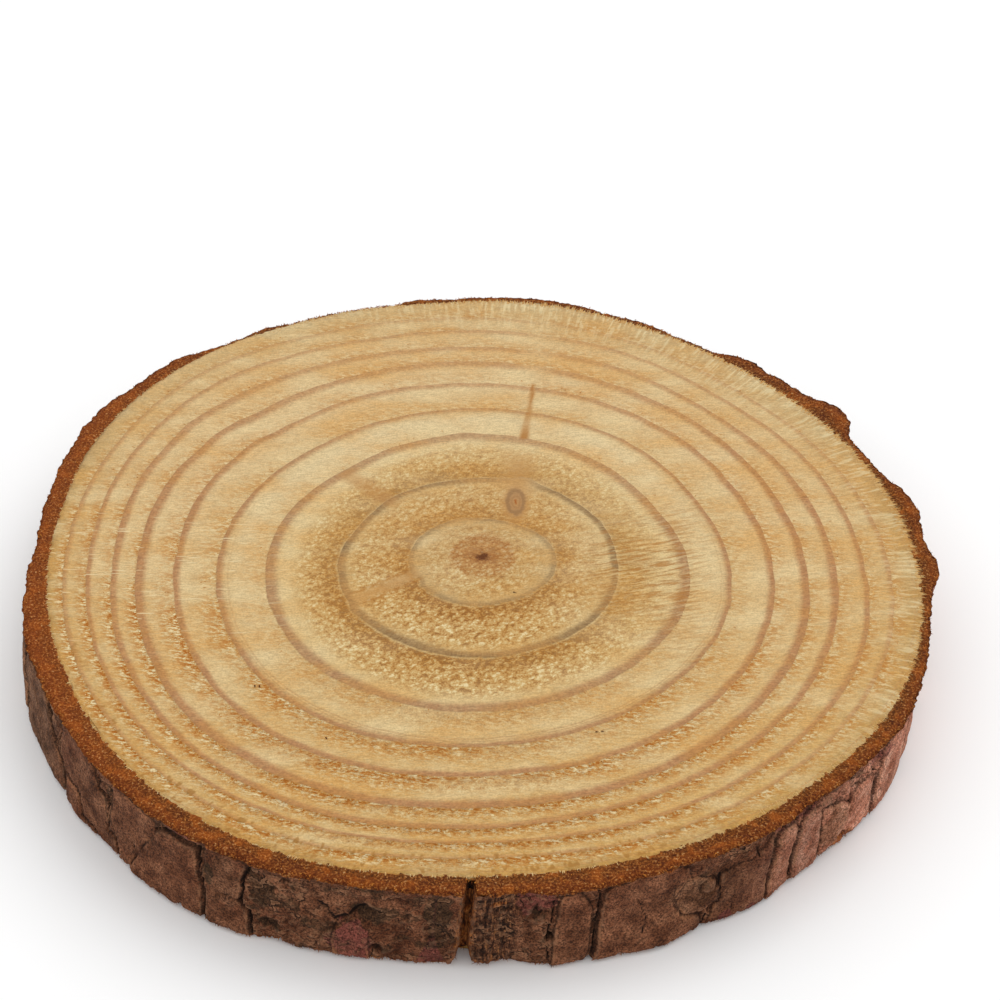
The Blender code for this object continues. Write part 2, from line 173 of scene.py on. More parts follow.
# %% Growth of each year
KINKS = ((1, -150, 7, -0.5), (2, -147, 5, 0.4), (2, 70, 9, 0.7), (5, 143, 7, 0.5), (6, 143, 7, 0.5),
         (7, 145, 7, 0.4), (3, 96, 7, 0.3))
DARK_SHARE = (0.08, 0.12, 0.16, 0.14, 0.17, 0.26, 0.28, 0.21, 0.17, 0.12)
DARK_STRENGTH = (0.6, 0.85, 0.9, 0.95, 1.0, 1.0, 0.95, 0.9, 0.8, 0.0)


def ring_radii(angle):
    """Radii of the pith, every ring and the wood's edge at each angle: one row for each."""
    rows = [0.0 * angle] + [round_curve(even_knots(radii), angle) for radii in YEAR_RINGS]
    for ring, centre, half_width, outward in KINKS:
        rows[ring] = rows[ring] + outward * near(angle, centre, half_width)
    return np.stack(rows + [wood_edge(angle)])


def year_of(age):
    """Number of the year that an age falls in. A ring still belongs to the year that it ends."""
    return np.clip(np.ceil(np.asarray(age) - 1e-6).astype(int) - 1, 0, YEARS - 1)


def year_radius(age, angle):
    """Radius at an age in years, which grows evenly from one ring to the next."""
    rings = ring_radii(angle)
    year = year_of(age)
    inner = np.take_along_axis(rings, year[None], 0)[0]
    outer = np.take_along_axis(rings, year[None] + 1, 0)[0]
    return inner + (age - year) * (outer - inner)


def dark_wood(age, angle, width_wobble):
    """How dark the wood is: it deepens slowly and ends sharply where the next year starts."""
    year = year_of(age)
    share = np.array(DARK_SHARE)[year] * (1.0 + width_wobble)
    rise = smooth_step((age - year - 1.0 + 1.25 * share) / (0.75 * share))
    faded = 1.0 - 0.65 * near(angle, 80, 5) * (age > 5.2)
    return rise * np.array(DARK_STRENGTH)[year] * faded


print("Dark wood takes up", [f"{share:.0%}" for share in DARK_SHARE[:-1]], "of its year")

# %% [markdown]
# The sawn face is a web of rows that follow the rings. A sculpted or displaced disc would need a
# far finer mesh to show a ring's sharp outer edge. Here each ring has two rows 0.12 mm apart, so
# the edge stays crisp whatever the spacing of the others. Rows get more vertices as they get
# longer, which keeps every triangle about 0.4 mm wide.

# %% Rows of the sawn face
ROW_STEP = 0.375
COLUMN_STEP = 0.41
RING_EDGE = 0.12
COLUMN_COUNTS = (12, 24, 48, 96, 144, 192, 288, 384, 576, 720, 900)


def ages_of_rows():
    ages = [0.0]
    middle = ring_radii(np.linspace(-180.0, 180.0, 96, endpoint=False)).mean(axis=1)
    for year in range(YEARS):
        width = middle[year + 1] - middle[year]
        steps = max(int(round(width / ROW_STEP)), 3)
        if year > 0:
            ages.append(year + RING_EDGE / width)
        ages += [year + i / steps for i in range(1, steps + 1)]
    return sorted(ages), middle


def count_for(radius):
    wanted = 2.0 * np.pi * radius / COLUMN_STEP
    return min((count for count in COLUMN_COUNTS if count >= 0.93 * wanted), default=COLUMN_COUNTS[-1])


row_ages, ring_means = ages_of_rows()
row_radii = np.interp(row_ages, np.arange(YEARS + 1), ring_means)
row_counts = [1] + [count_for(radius) for radius in row_radii[1:]]
print(f"{len(row_ages)} rows with {sum(row_counts)} vertices")

# %% [markdown]
# Two rows with different numbers of vertices are joined by walking round both at once and always
# stepping along the one that lags behind. The CAD part is stitched by the same rule.

# %% Join rows into one closed skin
def even_angles(count):
    return -180.0 + 360.0 * np.arange(count) / count


def stitch(inner, outer, inner_first, outer_first):
    """Triangles between two rows round the pith, given as vertex counts and first vertex numbers."""
    if inner == outer:
        here = np.arange(inner)
        on = (here + 1) % inner
        low = np.stack((inner_first + here, outer_first + here, outer_first + on), axis=1)
        high = np.stack((inner_first + here, outer_first + on, inner_first + on), axis=1)
        return np.concatenate((low, high)).tolist()
    triangles = []
    i = j = 0
    while i < inner or j < outer:
        here = (inner_first + i % inner, outer_first + j % outer)
        if j >= outer or (i < inner and (i + 1) * outer <= (j + 1) * inner):
            i += 1
            triangles.append((*here, inner_first + i % inner))
        else:
            j += 1
            triangles.append((*here, outer_first + j % outer))
    return [corners for corners in triangles if len(set(corners)) == 3]


def skin(counts):
    """Triangles of a closed skin over rows that start and end in a single vertex."""
    firsts = np.concatenate(([0], np.cumsum(counts)))[:-1]
    triangles = []
    for row in range(len(counts) - 1):
        triangles += stitch(counts[row], counts[row + 1], int(firsts[row]), int(firsts[row + 1]))
    return triangles


def closed_mesh(name, places, faces, smooth=True, **values):
    """An object from places and faces. Each named value is kept at every vertex for the material."""
    mesh = bpy.data.meshes.new(name)
    mesh.from_pydata(places.tolist(), [], faces)
    mesh.polygons.foreach_set("use_smooth", [smooth] * len(mesh.polygons))
    for title, numbers in values.items():
        kept = mesh.attributes.new(title, "FLOAT", "POINT")
        kept.data.foreach_set("value", np.asarray(numbers, dtype=np.float32).ravel())
    thing = bpy.data.objects.new(name, mesh)
    bpy.context.collection.objects.link(thing)
    triangles = sum(len(face.vertices) - 2 for face in mesh.polygons)
    print(f"{name}: {triangles} triangles")
    return thing


# %% [markdown]
# The saw leaves its own marks. It lifts the soft wood in small pale tufts, most of all in the
# second and third year at the front. It drags straight streaks across the right-hand side, and
# leaves each ring's hard dark wood a little proud. All of that is real height in the mesh, and
# the same numbers go to the material, so a light tuft is also a high one.

# %% Shape the sawn face
FRINGE_PITCH = 1.15  # the torn teeth along the border stand this far apart
BORDER_SHIFT = (
    (-175, -0.15), (-155, -0.45), (-140, -0.45), (-120, -0.2), (-90, -0.15), (-62, 0), (-45, -0.35),
    (-30, 0), (0, 0), (20, 0.2), (40, 0.2), (60, 0.2), (78, 0.6), (88, 0.2), (97, -0.5), (108, -0.1),
    (125, 0), (147, 0.55), (158, 0.45), (168, -0.1),
)
BORDER_RADIUS = 58  # of the wood, on average
FACE_TOP = 13.33  # the height of a ring's hard dark wood
RING_DROP = 0.13  # the soft wood just outside a ring lies this much lower


def on_circle(angle, radius, height=0.0):
    """Places round the trunk for its noise, in millimetres, without the slant of the cut."""
    turn = np.radians(angle)
    return np.stack(np.broadcast_arrays(radius * np.cos(turn), radius * np.sin(turn), height), axis=-1)


def combed(angle):
    """Where the border looks combed: 1 in the middle of the right-hand and back sides."""
    return np.clip(near(angle, 10, 60) + near(angle, 75, 50), 0, 1)


def comb_teeth(angle, shift=0.0):
    return np.abs(np.sin(np.pi * np.radians(angle) * BORDER_RADIUS / FRINGE_PITCH + shift))


def border(angle):
    """Radius of the line between wood and bark on the sawn face."""
    return wood_edge(angle) + round_curve(BORDER_SHIFT, angle)


def fringe(angle):
    """How far the torn edge of the wood reaches out over the bark, in millimetres."""
    place = on_circle(angle, BORDER_RADIUS)
    fuzz = 0.14 * swells(place, 0.9, 1) + 0.12 * swells(place, 2.5, 2)
    teeth = comb_teeth(angle, 2.0 * swells(place, 5, 3))
    fuzz += combed(angle) * (0.7 * teeth**1.3 - 0.5) * (0.8 + 0.4 * swells(place, 1.4, 4))
    return fuzz - 0.08 + round_curve(BORDER_SHIFT, angle)


face_angle = np.concatenate([even_angles(count) for count in row_counts])
face_age = np.repeat(row_ages, row_counts)
flat = placed(face_angle, year_radius(face_age, face_angle), THICKNESS + 0.0 * face_angle) / MM
bend = 0.16 * swells(flat, 3.1, 5) + 0.07 * swells(flat, 0.9, 6)
in_rings = smooth_step(face_age / 0.6) * smooth_step((YEARS - face_age) / 0.3)
face_radius = year_radius(face_age, face_angle) + bend * in_rings
face_radius += fringe(face_angle) * smooth_step((face_age - YEARS + 0.35) / 0.35)
flat = placed(face_angle, face_radius, THICKNESS + 0.0 * face_angle) / MM
from_pith = flat[:, :2] - PITH
x_off, y_off = from_pith.T

year_part = face_age - year_of(face_age)
dark = dark_wood(face_age, face_angle, 0.25 * swells(flat, 7.0, 7))


def tuft_strength(age, angle, part):
    year = year_of(age)
    at_front = near(angle, -100, 120)
    calm_from = np.where(year == 2, 0.86 - 0.16 * near(angle, 180, 80), 0.97)
    in_year = smooth_step(part / 0.05) * smooth_step((calm_from - part) / 0.3)
    strength = np.array([0.6, 0.9, 0.88, 0.35, 0.4, 0.5, 0.55, 0.55, 0.55, 0.4])[year]
    outside_ring = np.where(year > 2, smooth_step((0.7 - part) / 0.5) * near(angle, -95, 85), 1.0)
    streaky_side = near(angle, -5, 60) * smooth_step(age - 0.9) * (age < 3.2)
    return strength * in_year * outside_ring * (0.58 + 0.42 * at_front) * (1.0 - 0.6 * streaky_side)


tufts = tuft_strength(face_age, face_angle, year_part)
nap = 0.7 * swells(flat, 0.85, 8) + 0.7 * swells(flat, 0.5, 9)
crest = dark * 0.5 + year_part * 0.5
face_height = FACE_TOP - RING_DROP * (1.0 - crest) + 0.05 * swells(flat, 14, 10)
face_height += 0.2 * tufts * nap + 0.022 * nap
drag = near(face_angle, -6, 50) * smooth_step((x_off - 10) / 8) * smooth_step((33 - x_off) / 8)
along_drag = flat @ np.array(((1.0, -0.1, 0.0), (0.1, 1.0, 0.0), (0.0, 0.0, 1.0)))
face_height += 0.09 * drag * swells(along_drag, (7.0, 0.55, 7.0), 11)
face_height -= 0.4 * smooth_step(1.0 - np.hypot(0.8 * x_off, y_off) / 1.1)  # the pith is hollow
face_height += (THICKNESS - 0.07 - face_height) * smooth_step((face_age - YEARS + 0.5) / 0.3)
face_height -= 0.05 * smooth_step((face_age - YEARS + 0.1) / 0.1)
print(f"sawn face from {face_height.min():.2f} to {face_height.max():.2f} mm high")

# %% [markdown]
# Some marks stand alone: the almond-shaped knot of a twig, the warm wood round it, the thin
# drying line that runs from it to the back, the trace of a second twig at the left, and a warm
# smear behind that. Each is written as a distance in the plane of the cut, where 0 is the middle.

# %% Knot, drying line and twig trace
KNOT = (4.45, 11.35)


def along_line(places, start, end):
    """Share of the way along a line, and distance from it, for places in the plane."""
    way = np.array(end) - np.array(start)
    off = places - np.array(start)
    share = off @ way / (way @ way)
    return share, np.hypot(*(off - np.clip(share, 0, 1)[:, None] * way).T)


in_knot = np.hypot((x_off - KNOT[0]) / 1.3, (y_off - KNOT[1]) / 2.9)
halo = np.exp(-((x_off - 4.9) / 2.4) ** 2) * smooth_step((y_off - 11.0) / 3)
halo *= smooth_step((24.5 - y_off) / 6)
halo = np.maximum(halo, 0.9 * smooth_step((1.9 - in_knot) / 0.9))
share, away = along_line(from_pith, (5.7, 25.6), (7.2, 38.0))
check_line = smooth_step(1.5 - away / (0.62 - 0.45 * np.clip(share, 0, 1)))
check_line *= (share > -0.05) * (share < 1.02)
check_line *= 1.0 - 0.4 * smooth_step(share / 0.3) * smooth_step((0.75 - share) / 0.3)
share, away = along_line(from_pith, (-8.9, -3.7), (-16.6, -8.8))
trace = 0.95 * smooth_step(1.3 - away / 1.0) * smooth_step(share * 6 + 1) * smooth_step((1.1 - share) * 5)
trace_edge = np.exp(-((away - 1.2) / 0.22) ** 2) * smooth_step(share * 4 + 0.6)
trace_edge *= smooth_step((1.1 - share) * 5)
share, away = along_line(from_pith, (-12.6, 11.5), (-21.3, 19.6))
smear = smooth_step(1.2 - away / 1.7) * smooth_step(1.5 - share) * (face_age < 3.0)
stain = np.clip(0.8 * halo + 0.75 * trace + 0.85 * smear, 0, 1)
line_stain = np.clip(check_line + 0.75 * trace_edge * (face_age < 2.1), 0, 1)
knot_here = smooth_step((1.3 - in_knot) / 0.3)
tufts *= 1.0 - 0.85 * np.maximum.reduce([halo, trace, knot_here])
dark *= 1.0 - np.maximum.reduce([knot_here, 0.6 * trace, 0.7 * halo * (face_age < 2.5)])
print("The knot is 2.6 mm wide and 5.8 mm long")

# %% [markdown]
# Below the torn border the skin turns down, runs along the inside of the bark, and closes over a
# flat lower face. That face is sawn too, so it gets the same ages, with five rows for a year.

# %% Close the wood below
CRACK_ANGLE = -91.1
CRACK_IN_WOOD = 1.9  # the crack shows this deep at the foot
EDGE_COUNT = COLUMN_COUNTS[-1]
side = [(0.1, -0.45), (-0.25, -0.9), (-0.4, -9.2), (-0.4, -12.7)]  # outward and down from the rim
side_angle = np.tile(even_angles(EDGE_COUNT), len(side))
side_radius = wood_edge(side_angle) + np.repeat([out for out, _ in side], EDGE_COUNT)
side_radius[-EDGE_COUNT:] -= CRACK_IN_WOOD * near(even_angles(EDGE_COUNT), CRACK_ANGLE, 1.5)
side_height = np.repeat([THICKNESS + drop for _, drop in side], EDGE_COUNT)

UNDER_COLUMNS = 180
under_ages = sorted({year + part for year in range(YEARS)
                     for part in (0.5, 1.0 - 1.25 * DARK_SHARE[year], 1.0 - 0.5 * DARK_SHARE[year], 0.995)}
                    | {year + 0.03 for year in range(1, YEARS)}, reverse=True)
under_angle = np.tile(even_angles(UNDER_COLUMNS), len(under_ages))
under_age = np.repeat(under_ages, UNDER_COLUMNS)
under_radius = year_radius(under_age, under_angle) - 0.4 * (under_age / YEARS) ** 4
under_radius -= CRACK_IN_WOOD * near(under_angle, CRACK_ANGLE, 1.5) * (under_age > YEARS - 0.6)

wood_counts = row_counts + [EDGE_COUNT] * len(side) + [UNDER_COLUMNS] * len(under_ages) + [1]


def all_over(face, side=0.0, under=0.0):
    """Values of the face, then of the side, the lower face and its middle."""
    return np.concatenate((face, 0.0 * side_angle + side, 0.0 * under_angle + under, [0.0]))


all_height = np.clip(all_over(face_height, side_height), 0.0, THICKNESS)
wood = closed_mesh(
    "sawn_wood",
    placed(all_over(face_angle, side_angle, under_angle), all_over(face_radius, side_radius, under_radius),
           all_height),
    skin(wood_counts),
    age=all_over(face_age, YEARS, under_age),
    dark_wood=all_over(dark, 0.0, dark_wood(under_age, under_angle, 0.0)),
    tufts=all_over(tufts),
    drag=all_over(drag),
    stain=all_over(stain),
    line_stain=all_over(line_stain),
)

# %% [markdown]
# The bark is a band of plates that split apart as the trunk grew thicker. The table gives each
# plate of the front by its corners on the unrolled bark (angle, height) and by how far it stands
# out. Fissures run between them. Behind, where no one picture shows the bark, more of the same
# kind are laid side by side from a seeded draw, the same one as in the CAD part.

# %% Plates and fissures
PLATES = (
    (0.9, ((-178, 0), (-178, 9), (-171, 12), (-165, 12.4), (-164, 6), (-165, 0))),
    (0.9, ((-163, 12.4), (-156.8, 12.4), (-153.8, 9.6), (-153, 7.2), (-150.8, 5.2), (-149.4, 4.2),
           (-149.2, 0), (-163, 0))),
    (0.6, ((-149.4, 12.6), (-142.4, 13), (-140.4, 9.4), (-138.4, 8.6), (-137.9, 4), (-136.8, 3.2),
           (-136.2, 0), (-148.6, 0), (-148.6, 4.2), (-150, 7), (-149.4, 10.5))),
    (1.1, ((-148, 4.6), (-144.4, 4.7), (-143.6, 2.6), (-142.8, 1.2), (-140.6, 0.9), (-140.4, 0),
           (-148.2, 0))),
    (0.4, ((-137.2, 12.4), (-129, 11.6), (-129.5, 9), (-131, 7), (-133, 3), (-134, 0), (-135.5, 0),
           (-136.4, 3.4), (-137.2, 6))),
    (1.1, ((-128.2, 11.2), (-127, 11.8), (-123.3, 11.3), (-122.9, 9), (-122.2, 5.5), (-122, 0),
           (-133, 0), (-133.4, 1), (-132.3, 4.4), (-130.6, 7.2), (-129, 10.2))),
    (0.9, ((-122, 12.6), (-121, 13.2), (-119.6, 13), (-117.2, 12.8), (-116.7, 12.3), (-117.3, 7),
           (-117.3, 5.6), (-116.4, 4.6), (-115.6, 0), (-121.4, 0), (-121.7, 5), (-122, 9.5))),
    (0.4, ((-106, 5.4), (-104.6, 6.7), (-102, 5.6), (-101.6, 0.3), (-106, 0.3))),
    (0.7, ((-80.9, 12.4), (-79, 12.8), (-77.8, 11.2), (-77, 9), (-76.8, 0), (-81, 0))),
    (1.2, ((-76, 11.8), (-74.9, 12.6), (-72.8, 13), (-69, 13.1), (-65.6, 12.2), (-65.4, 10),
           (-67.2, 7.5), (-66, 4), (-63.6, 2.8), (-62.8, 1), (-63.2, 0), (-76, 0))),
    (0.8, ((-67.2, 9.6), (-64.5, 9.8), (-61.6, 8), (-61, 4.5), (-63.2, 3.1), (-65.6, 4), (-67, 6))),
    (0.7, ((-61, 9), (-57, 9.4), (-54.6, 11.6), (-54.4, 0), (-62, 0), (-61.5, 3))),
    (1.0, ((-53.8, 10.8), (-53, 11.6), (-51.4, 11.6), (-50.7, 10.4), (-50.5, 0), (-54, 0))),
    (1.1, ((-49.9, 10.4), (-48.8, 11.4), (-46.8, 11.2), (-46.2, 9.4), (-45.4, 0), (-50, 0))),
    (1.2, ((-45.9, 9.4), (-42.6, 8.7), (-41.3, 7.8), (-41.6, 3.8), (-42.8, 2), (-45, 1))),
    (0.8, ((-41, 9), (-38, 9.5), (-36, 8.2), (-35.4, 1), (-39, 0.8), (-41.5, 3))),
    (1.1, ((-35.2, 12), (-33, 13), (-30, 12.6), (-27, 9), (-26, 0), (-34.8, 0))),
    (0.7, ((-25, 12), (-18, 12.4), (-15, 5), (-16, 0), (-25.2, 0))),
)
FISSURES = (
    (0.5, 0.8, ((-166, 13.4), (-168, 9), (-171.5, 4), (-174, 0))),
    (0.6, 0.9, ((-157, 13.2), (-156.4, 12), (-154.6, 10.6), (-153.4, 9.4))),
    (0.5, 0.9, ((-150.3, 13.2), (-149.8, 12), (-149.7, 10.2), (-150.4, 8), (-150.7, 6), (-149.2, 4.8),
                (-148.9, 2.4), (-148.7, 0))),
    (0.5, 0.6, ((-148.4, 5), (-144.2, 4.7), (-143.7, 3.2), (-143.2, 1.4), (-140.6, 1), (-140.3, 0))),
    (0.5, 1.0, ((-142, 13.4), (-141.4, 12.2), (-140, 10.1), (-140.2, 9.1), (-138.5, 9.2), (-137.8, 8.4),
                (-137.6, 5.4), (-138.2, 3.5), (-136.7, 3.2), (-136, 0))),
    (0.5, 1.0, ((-129.2, 10.6), (-128.3, 11.4), (-127, 12.1), (-124, 12.1), (-123, 11.3), (-122.6, 9),
                (-121.9, 6), (-121.6, 4), (-121.9, 0))),
    (0.5, 0.9, ((-119.9, 13.5), (-119, 13.2), (-116.8, 13), (-116.3, 12.2), (-117, 9.4), (-117.1, 5.8),
                (-116.2, 4.6), (-115.8, 2.6), (-115.3, 0))),
    (0.7, 0.5, ((-108, 8.6), (-106, 6.6), (-104.4, 7.6), (-102.6, 9.2), (-100.6, 8.6))),
    (0.4, 0.8, ((-81.4, 13.2), (-81.5, 8), (-81.6, 5), (-81.3, 0))),
    (0.4, 1.0, ((-77.6, 13.4), (-76.7, 12.8), (-76.3, 10.6), (-76.2, 5.4), (-76.4, 3.4), (-76.2, 0))),
    (0.4, 0.5, ((-61.2, 9), (-60.9, 5), (-62, 2.8), (-62.6, 0))),
    (0.4, 0.8, ((-57, 13.6), (-56.8, 12), (-56.4, 9.2))),
    (0.4, 0.5, ((-54.3, 11.6), (-54.2, 0))),
    (0.6, 1.4, ((-53.2, 12.1), (-51, 12.2), (-50.4, 10), (-50.3, 5), (-50.4, 0))),
    (0.7, 1.2, ((-50, 12), (-48, 12.3), (-45, 11.8))),
    (0.4, 0.6, ((-46.2, 9.6), (-46, 6.6), (-45.3, 2.6))),
    (0.4, 0.8, ((-41.3, 8), (-41.5, 3), (-43, 1.8))),
    (0.4, 0.7, ((-37.6, 10.6), (-36.6, 9.4), (-35.4, 8.6), (-35.2, 1))),
    (0.4, 0.5, ((-33.6, 9.4), (-33, 7.2), (-31.8, 3))),
    (0.5, 0.9, ((-26.6, 13), (-25.6, 8), (-25.4, 0))),
)
HAIR_CRACKS = (
    (0.3, 0.35, ((-133.7, 6.4), (-133.2, 4))), (0.3, 0.4, ((-120.4, 6.1), (-117.3, 5.8))),
    (0.3, 0.4, ((-86.3, 13.2), (-84.6, 9.2))), (0.3, 0.4, ((-86.8, 6.6), (-86.2, 3.2))),
    (0.3, 0.5, ((-59.1, 4.4), (-58.9, 1.4))), (0.3, 0.3, ((-160, 9), (-157, 4), (-157.5, 1))),
    (0.3, 0.3, ((-72, 9.6), (-70.5, 6.0), (-70.8, 3.4))),
)
GROWN_FROM, GROWN_TO = -14.0, 181.5
BARK_SEED = 11


def grown_bark():
    """Plates and fissures for the sides away from the front, as the two tables give them."""
    draw = random.Random(BARK_SEED)
    plates = []
    fissures = []
    left = GROWN_FROM
    while left < GROWN_TO - 4.0:
        width = min(draw.uniform(4.0, 10.5), GROWN_TO - left)
        top = draw.uniform(10.4, 13.1)
        lean = draw.uniform(-1.2, 1.2)
        stands_out = draw.uniform(0.4, 1.25)
        right = left + width
        split = draw.uniform(3.5, 9.0)
        corners = ((left + 0.3, 0), (left + 0.3 + lean, top - 1.6), (left + 0.3 * width + lean, top),
                   (right - 1.2 + lean, top - 0.7), (right - 0.3 + 0.5 * lean, top * 0.5), (right - 0.3, 0))
        plates.append((stands_out, corners))
        fissures.append((0.45, draw.uniform(0.5, 1.1),
                         ((left, 0), (left + 0.5 * lean, 0.5 * top), (left + lean, top - 1.0),
                          (left + 0.3 * width + lean, top + 0.6))))
        if width > 6.0:
            middle = left + draw.uniform(0.4, 0.6) * width
            plates.append((stands_out + 0.35, ((left + 0.5, 0), (left + 0.5 + 0.4 * lean, split),
                                               (middle, split + 0.8), (middle + 0.4, 0))))
            fissures.append((0.4, 0.5, ((left + 0.4, split + 0.3), (middle, split + 1.1),
                                        (middle + 0.7, 0))))
        left = right
    return plates, fissures


more_plates, more_fissures = grown_bark()
all_plates = list(PLATES) + more_plates
all_fissures = list(FISSURES) + list(HAIR_CRACKS) + more_fissures
print(f"{len(all_plates)} plates and {len(all_fissures)} fissures round the slice")

# %% [markdown]
# One column of the bark's web runs round the whole cross section: in along the lower face, up the
# outside, over the rim, across the cut bark and down inside the wood. The columns at the front
# stand closer together, because the bark there is seen from nearest.

# %% Web of the bark
BARK_RADIUS = 60.0  # on average
MM_PER_DEGREE = np.radians(BARK_RADIUS)  # along the bark
FRONT_FROM, FRONT_TO = -172.0, -8.0
bark_angle = np.concatenate((np.linspace(FRONT_FROM, FRONT_TO, 730, endpoint=False),
                             np.linspace(FRONT_TO, 360.0 + FRONT_FROM, 520, endpoint=False)))
COLUMNS = len(bark_angle)
WALL_ROWS = 46
edge = border(bark_angle)
wrapped = angle_apart(bark_angle, 0.0)

foot_place = on_circle(bark_angle, BARK_RADIUS)
ragged = np.maximum(0.0, swells(foot_place, 1.3, 20) + 0.7 * swells(foot_place, 0.5, 21) - 0.1)
foot_height = 0.75 * ragged * (1.0 + 0.6 * near(bark_angle, -42, 8))
share_up = np.linspace(0.0, 1.0, WALL_ROWS)[:, None]
wall_height = foot_height + (13.05 - foot_height) * share_up
wall_place = on_circle(bark_angle, BARK_RADIUS, wall_height)


def wall_swells(size, number=0):
    """Smooth noise over the wall of bark, whose swells have a size in millimetres."""
    return swells(wall_place, size, number)


print(f"{COLUMNS} columns, {WALL_ROWS} rows up the outside")

# %% [markdown]
# A plate isn't cut with a knife: its edge wanders, and breaks in thin layers like wet cardboard.
# So the places are first shifted by noise, which makes straight corners wander, and then each
# plate rises in two small steps. Where no plate lies, the bark is rugged and flaky.

# %% Relief of the bark
def distance_to_route(x, y, route):
    nearest = np.full(x.shape, 1e9)
    for (x1, y1), (x2, y2) in zip(route, route[1:]):
        across, up = x2 - x1, y2 - y1
        along = np.clip(((x - x1) * across + (y - y1) * up) / (across**2 + up**2), 0.0, 1.0)
        nearest = np.minimum(nearest, np.hypot(x - x1 - along * across, y - y1 - along * up))
    return nearest


def is_inside(x, y, corners):
    inside = np.zeros(x.shape, dtype=bool)
    for (x1, y1), (x2, y2) in zip(corners, corners[1:] + corners[:1]):
        if y1 != y2:
            inside ^= ((y1 > y) != (y2 > y)) & (x < x1 + (y - y1) / (y2 - y1) * (x2 - x1))
    return inside


def on_bark(corners):
    """The corners in millimetres, both ways round, each with the part of the web that lies near."""
    for turns in (0.0, -360.0):
        line = tuple(((angle + turns) * MM_PER_DEGREE, height) for angle, height in corners)
        low, high = min(line)[0], max(line)[0]
        columns = np.flatnonzero((x_on_bark.min(axis=0) < high + 1.0) & (x_on_bark.max(axis=0) > low - 1.0))
        if len(columns):
            yield line, low, high, (slice(None), columns)


wander_x = 0.3 * wall_swells(2.6, 22) + 0.14 * wall_swells(0.9, 23)
wander_y = 0.32 * wall_swells(2.4, 24) + 0.16 * wall_swells(0.9, 25)
tilts = random.Random(BARK_SEED + 1)
PLATE_RELIEF = 0.5  # millimetres for each 1 in the table of plates
x_on_bark = wrapped * MM_PER_DEGREE + wander_x
y_on_bark = wall_height + wander_y * smooth_step(wall_height / 0.8)
plate_rise = np.zeros(x_on_bark.shape)
plate_here = np.zeros(x_on_bark.shape)
plate_tone = np.full(x_on_bark.shape, 0.5)
flake = 0.25 * wall_swells(1.1, 26)
to_edge = np.full(x_on_bark.shape, 2.0)  # millimetres into the nearest plate, below 0 outside plates
for stands_out, corners in all_plates:
    tilt = tilts.uniform(-0.3, 0.3)
    own_tone = tilts.uniform(0.0, 1.0)
    for shape, low, high, part in on_bark(corners):
        x, y = x_on_bark[part], y_on_bark[part]
        depth = distance_to_route(x, y, shape + shape[:1])
        depth = np.where(is_inside(x, y, shape), depth, -depth)
        to_edge[part] = np.where(np.abs(depth) < np.abs(to_edge[part]), depth, to_edge[part])
        leaning = 1.0 + tilt * np.clip((2.0 * x - low - high) / (high - low), -1, 1)
        steps = 0.8 * smooth_step(0.5 + depth / 0.16)
        steps += 0.2 * smooth_step((depth + flake[part] - 0.45) / 0.12)
        plate_tone[part] = np.where(depth > 0.0, own_tone, plate_tone[part])
        plate_rise[part] = np.maximum(plate_rise[part], PLATE_RELIEF * stands_out * leaning * steps)
        plate_here[part] = np.maximum(plate_here[part], smooth_step(0.5 + depth / 0.5))

fissure = np.zeros(x_on_bark.shape)
to_gap = np.full(x_on_bark.shape, 3.0)  # distance from the middle of a fissure, as a share of its width
for width, depth_mm, route in all_fissures:
    for line, _, _, part in on_bark(route):
        away = distance_to_route(x_on_bark[part], y_on_bark[part], line)
        to_gap[part] = np.minimum(to_gap[part], away / width)
        cut = 0.5 * depth_mm * smooth_step(1.35 - away / (0.3 * width))
        fissure[part] = np.maximum(fissure[part], cut)
print(f"plates stand out up to {plate_rise.max():.2f} mm, fissures go {fissure.max():.2f} mm deep")

# %% [markdown]
# The crack is where the drying bark pulled apart down to the wood. Its lips are uneven, and it
# opens at the lower edge. Beside it the bark has broken along its grain into upright ridges.

# %% Crack and rough ground
CRACK_HALF_WIDTH = 0.46
CRACK_DEPTH = 2.3
CRACK_FOOT = 0.5
CRACK_FOOT_HEIGHT = 3.4

lip = 0.2 * wall_swells(1.1, 27) + 0.16 * wall_swells(0.5, 28)
foot_share = np.clip(1.0 - wall_height / CRACK_FOOT_HEIGHT, 0.0, 1.0)
half = CRACK_HALF_WIDTH + CRACK_FOOT * foot_share + lip
from_crack = (wrapped - CRACK_ANGLE) * MM_PER_DEGREE + 0.2 * wall_swells(5.0, 29)
crack = smooth_step(1.5 - np.abs(from_crack) / np.maximum(half, 0.12))


def chips(places, size, number):
    """Flat chips of the given size, each with its own height and tilt, as bark flakes off."""
    heights = []
    for place in (places / size + 31.7 * number).reshape(-1, 3).tolist():
        middle = noise.voronoi(place)[1][0]
        own = [noise.noise(middle * stretch) for stretch in (5.1, 7.3, 9.1, 11.7)]
        heights.append(own[0] + 0.9 * Vector(own[1:]).dot(Vector(place) - middle))
    return np.array(heights).reshape(places.shape[:-1])


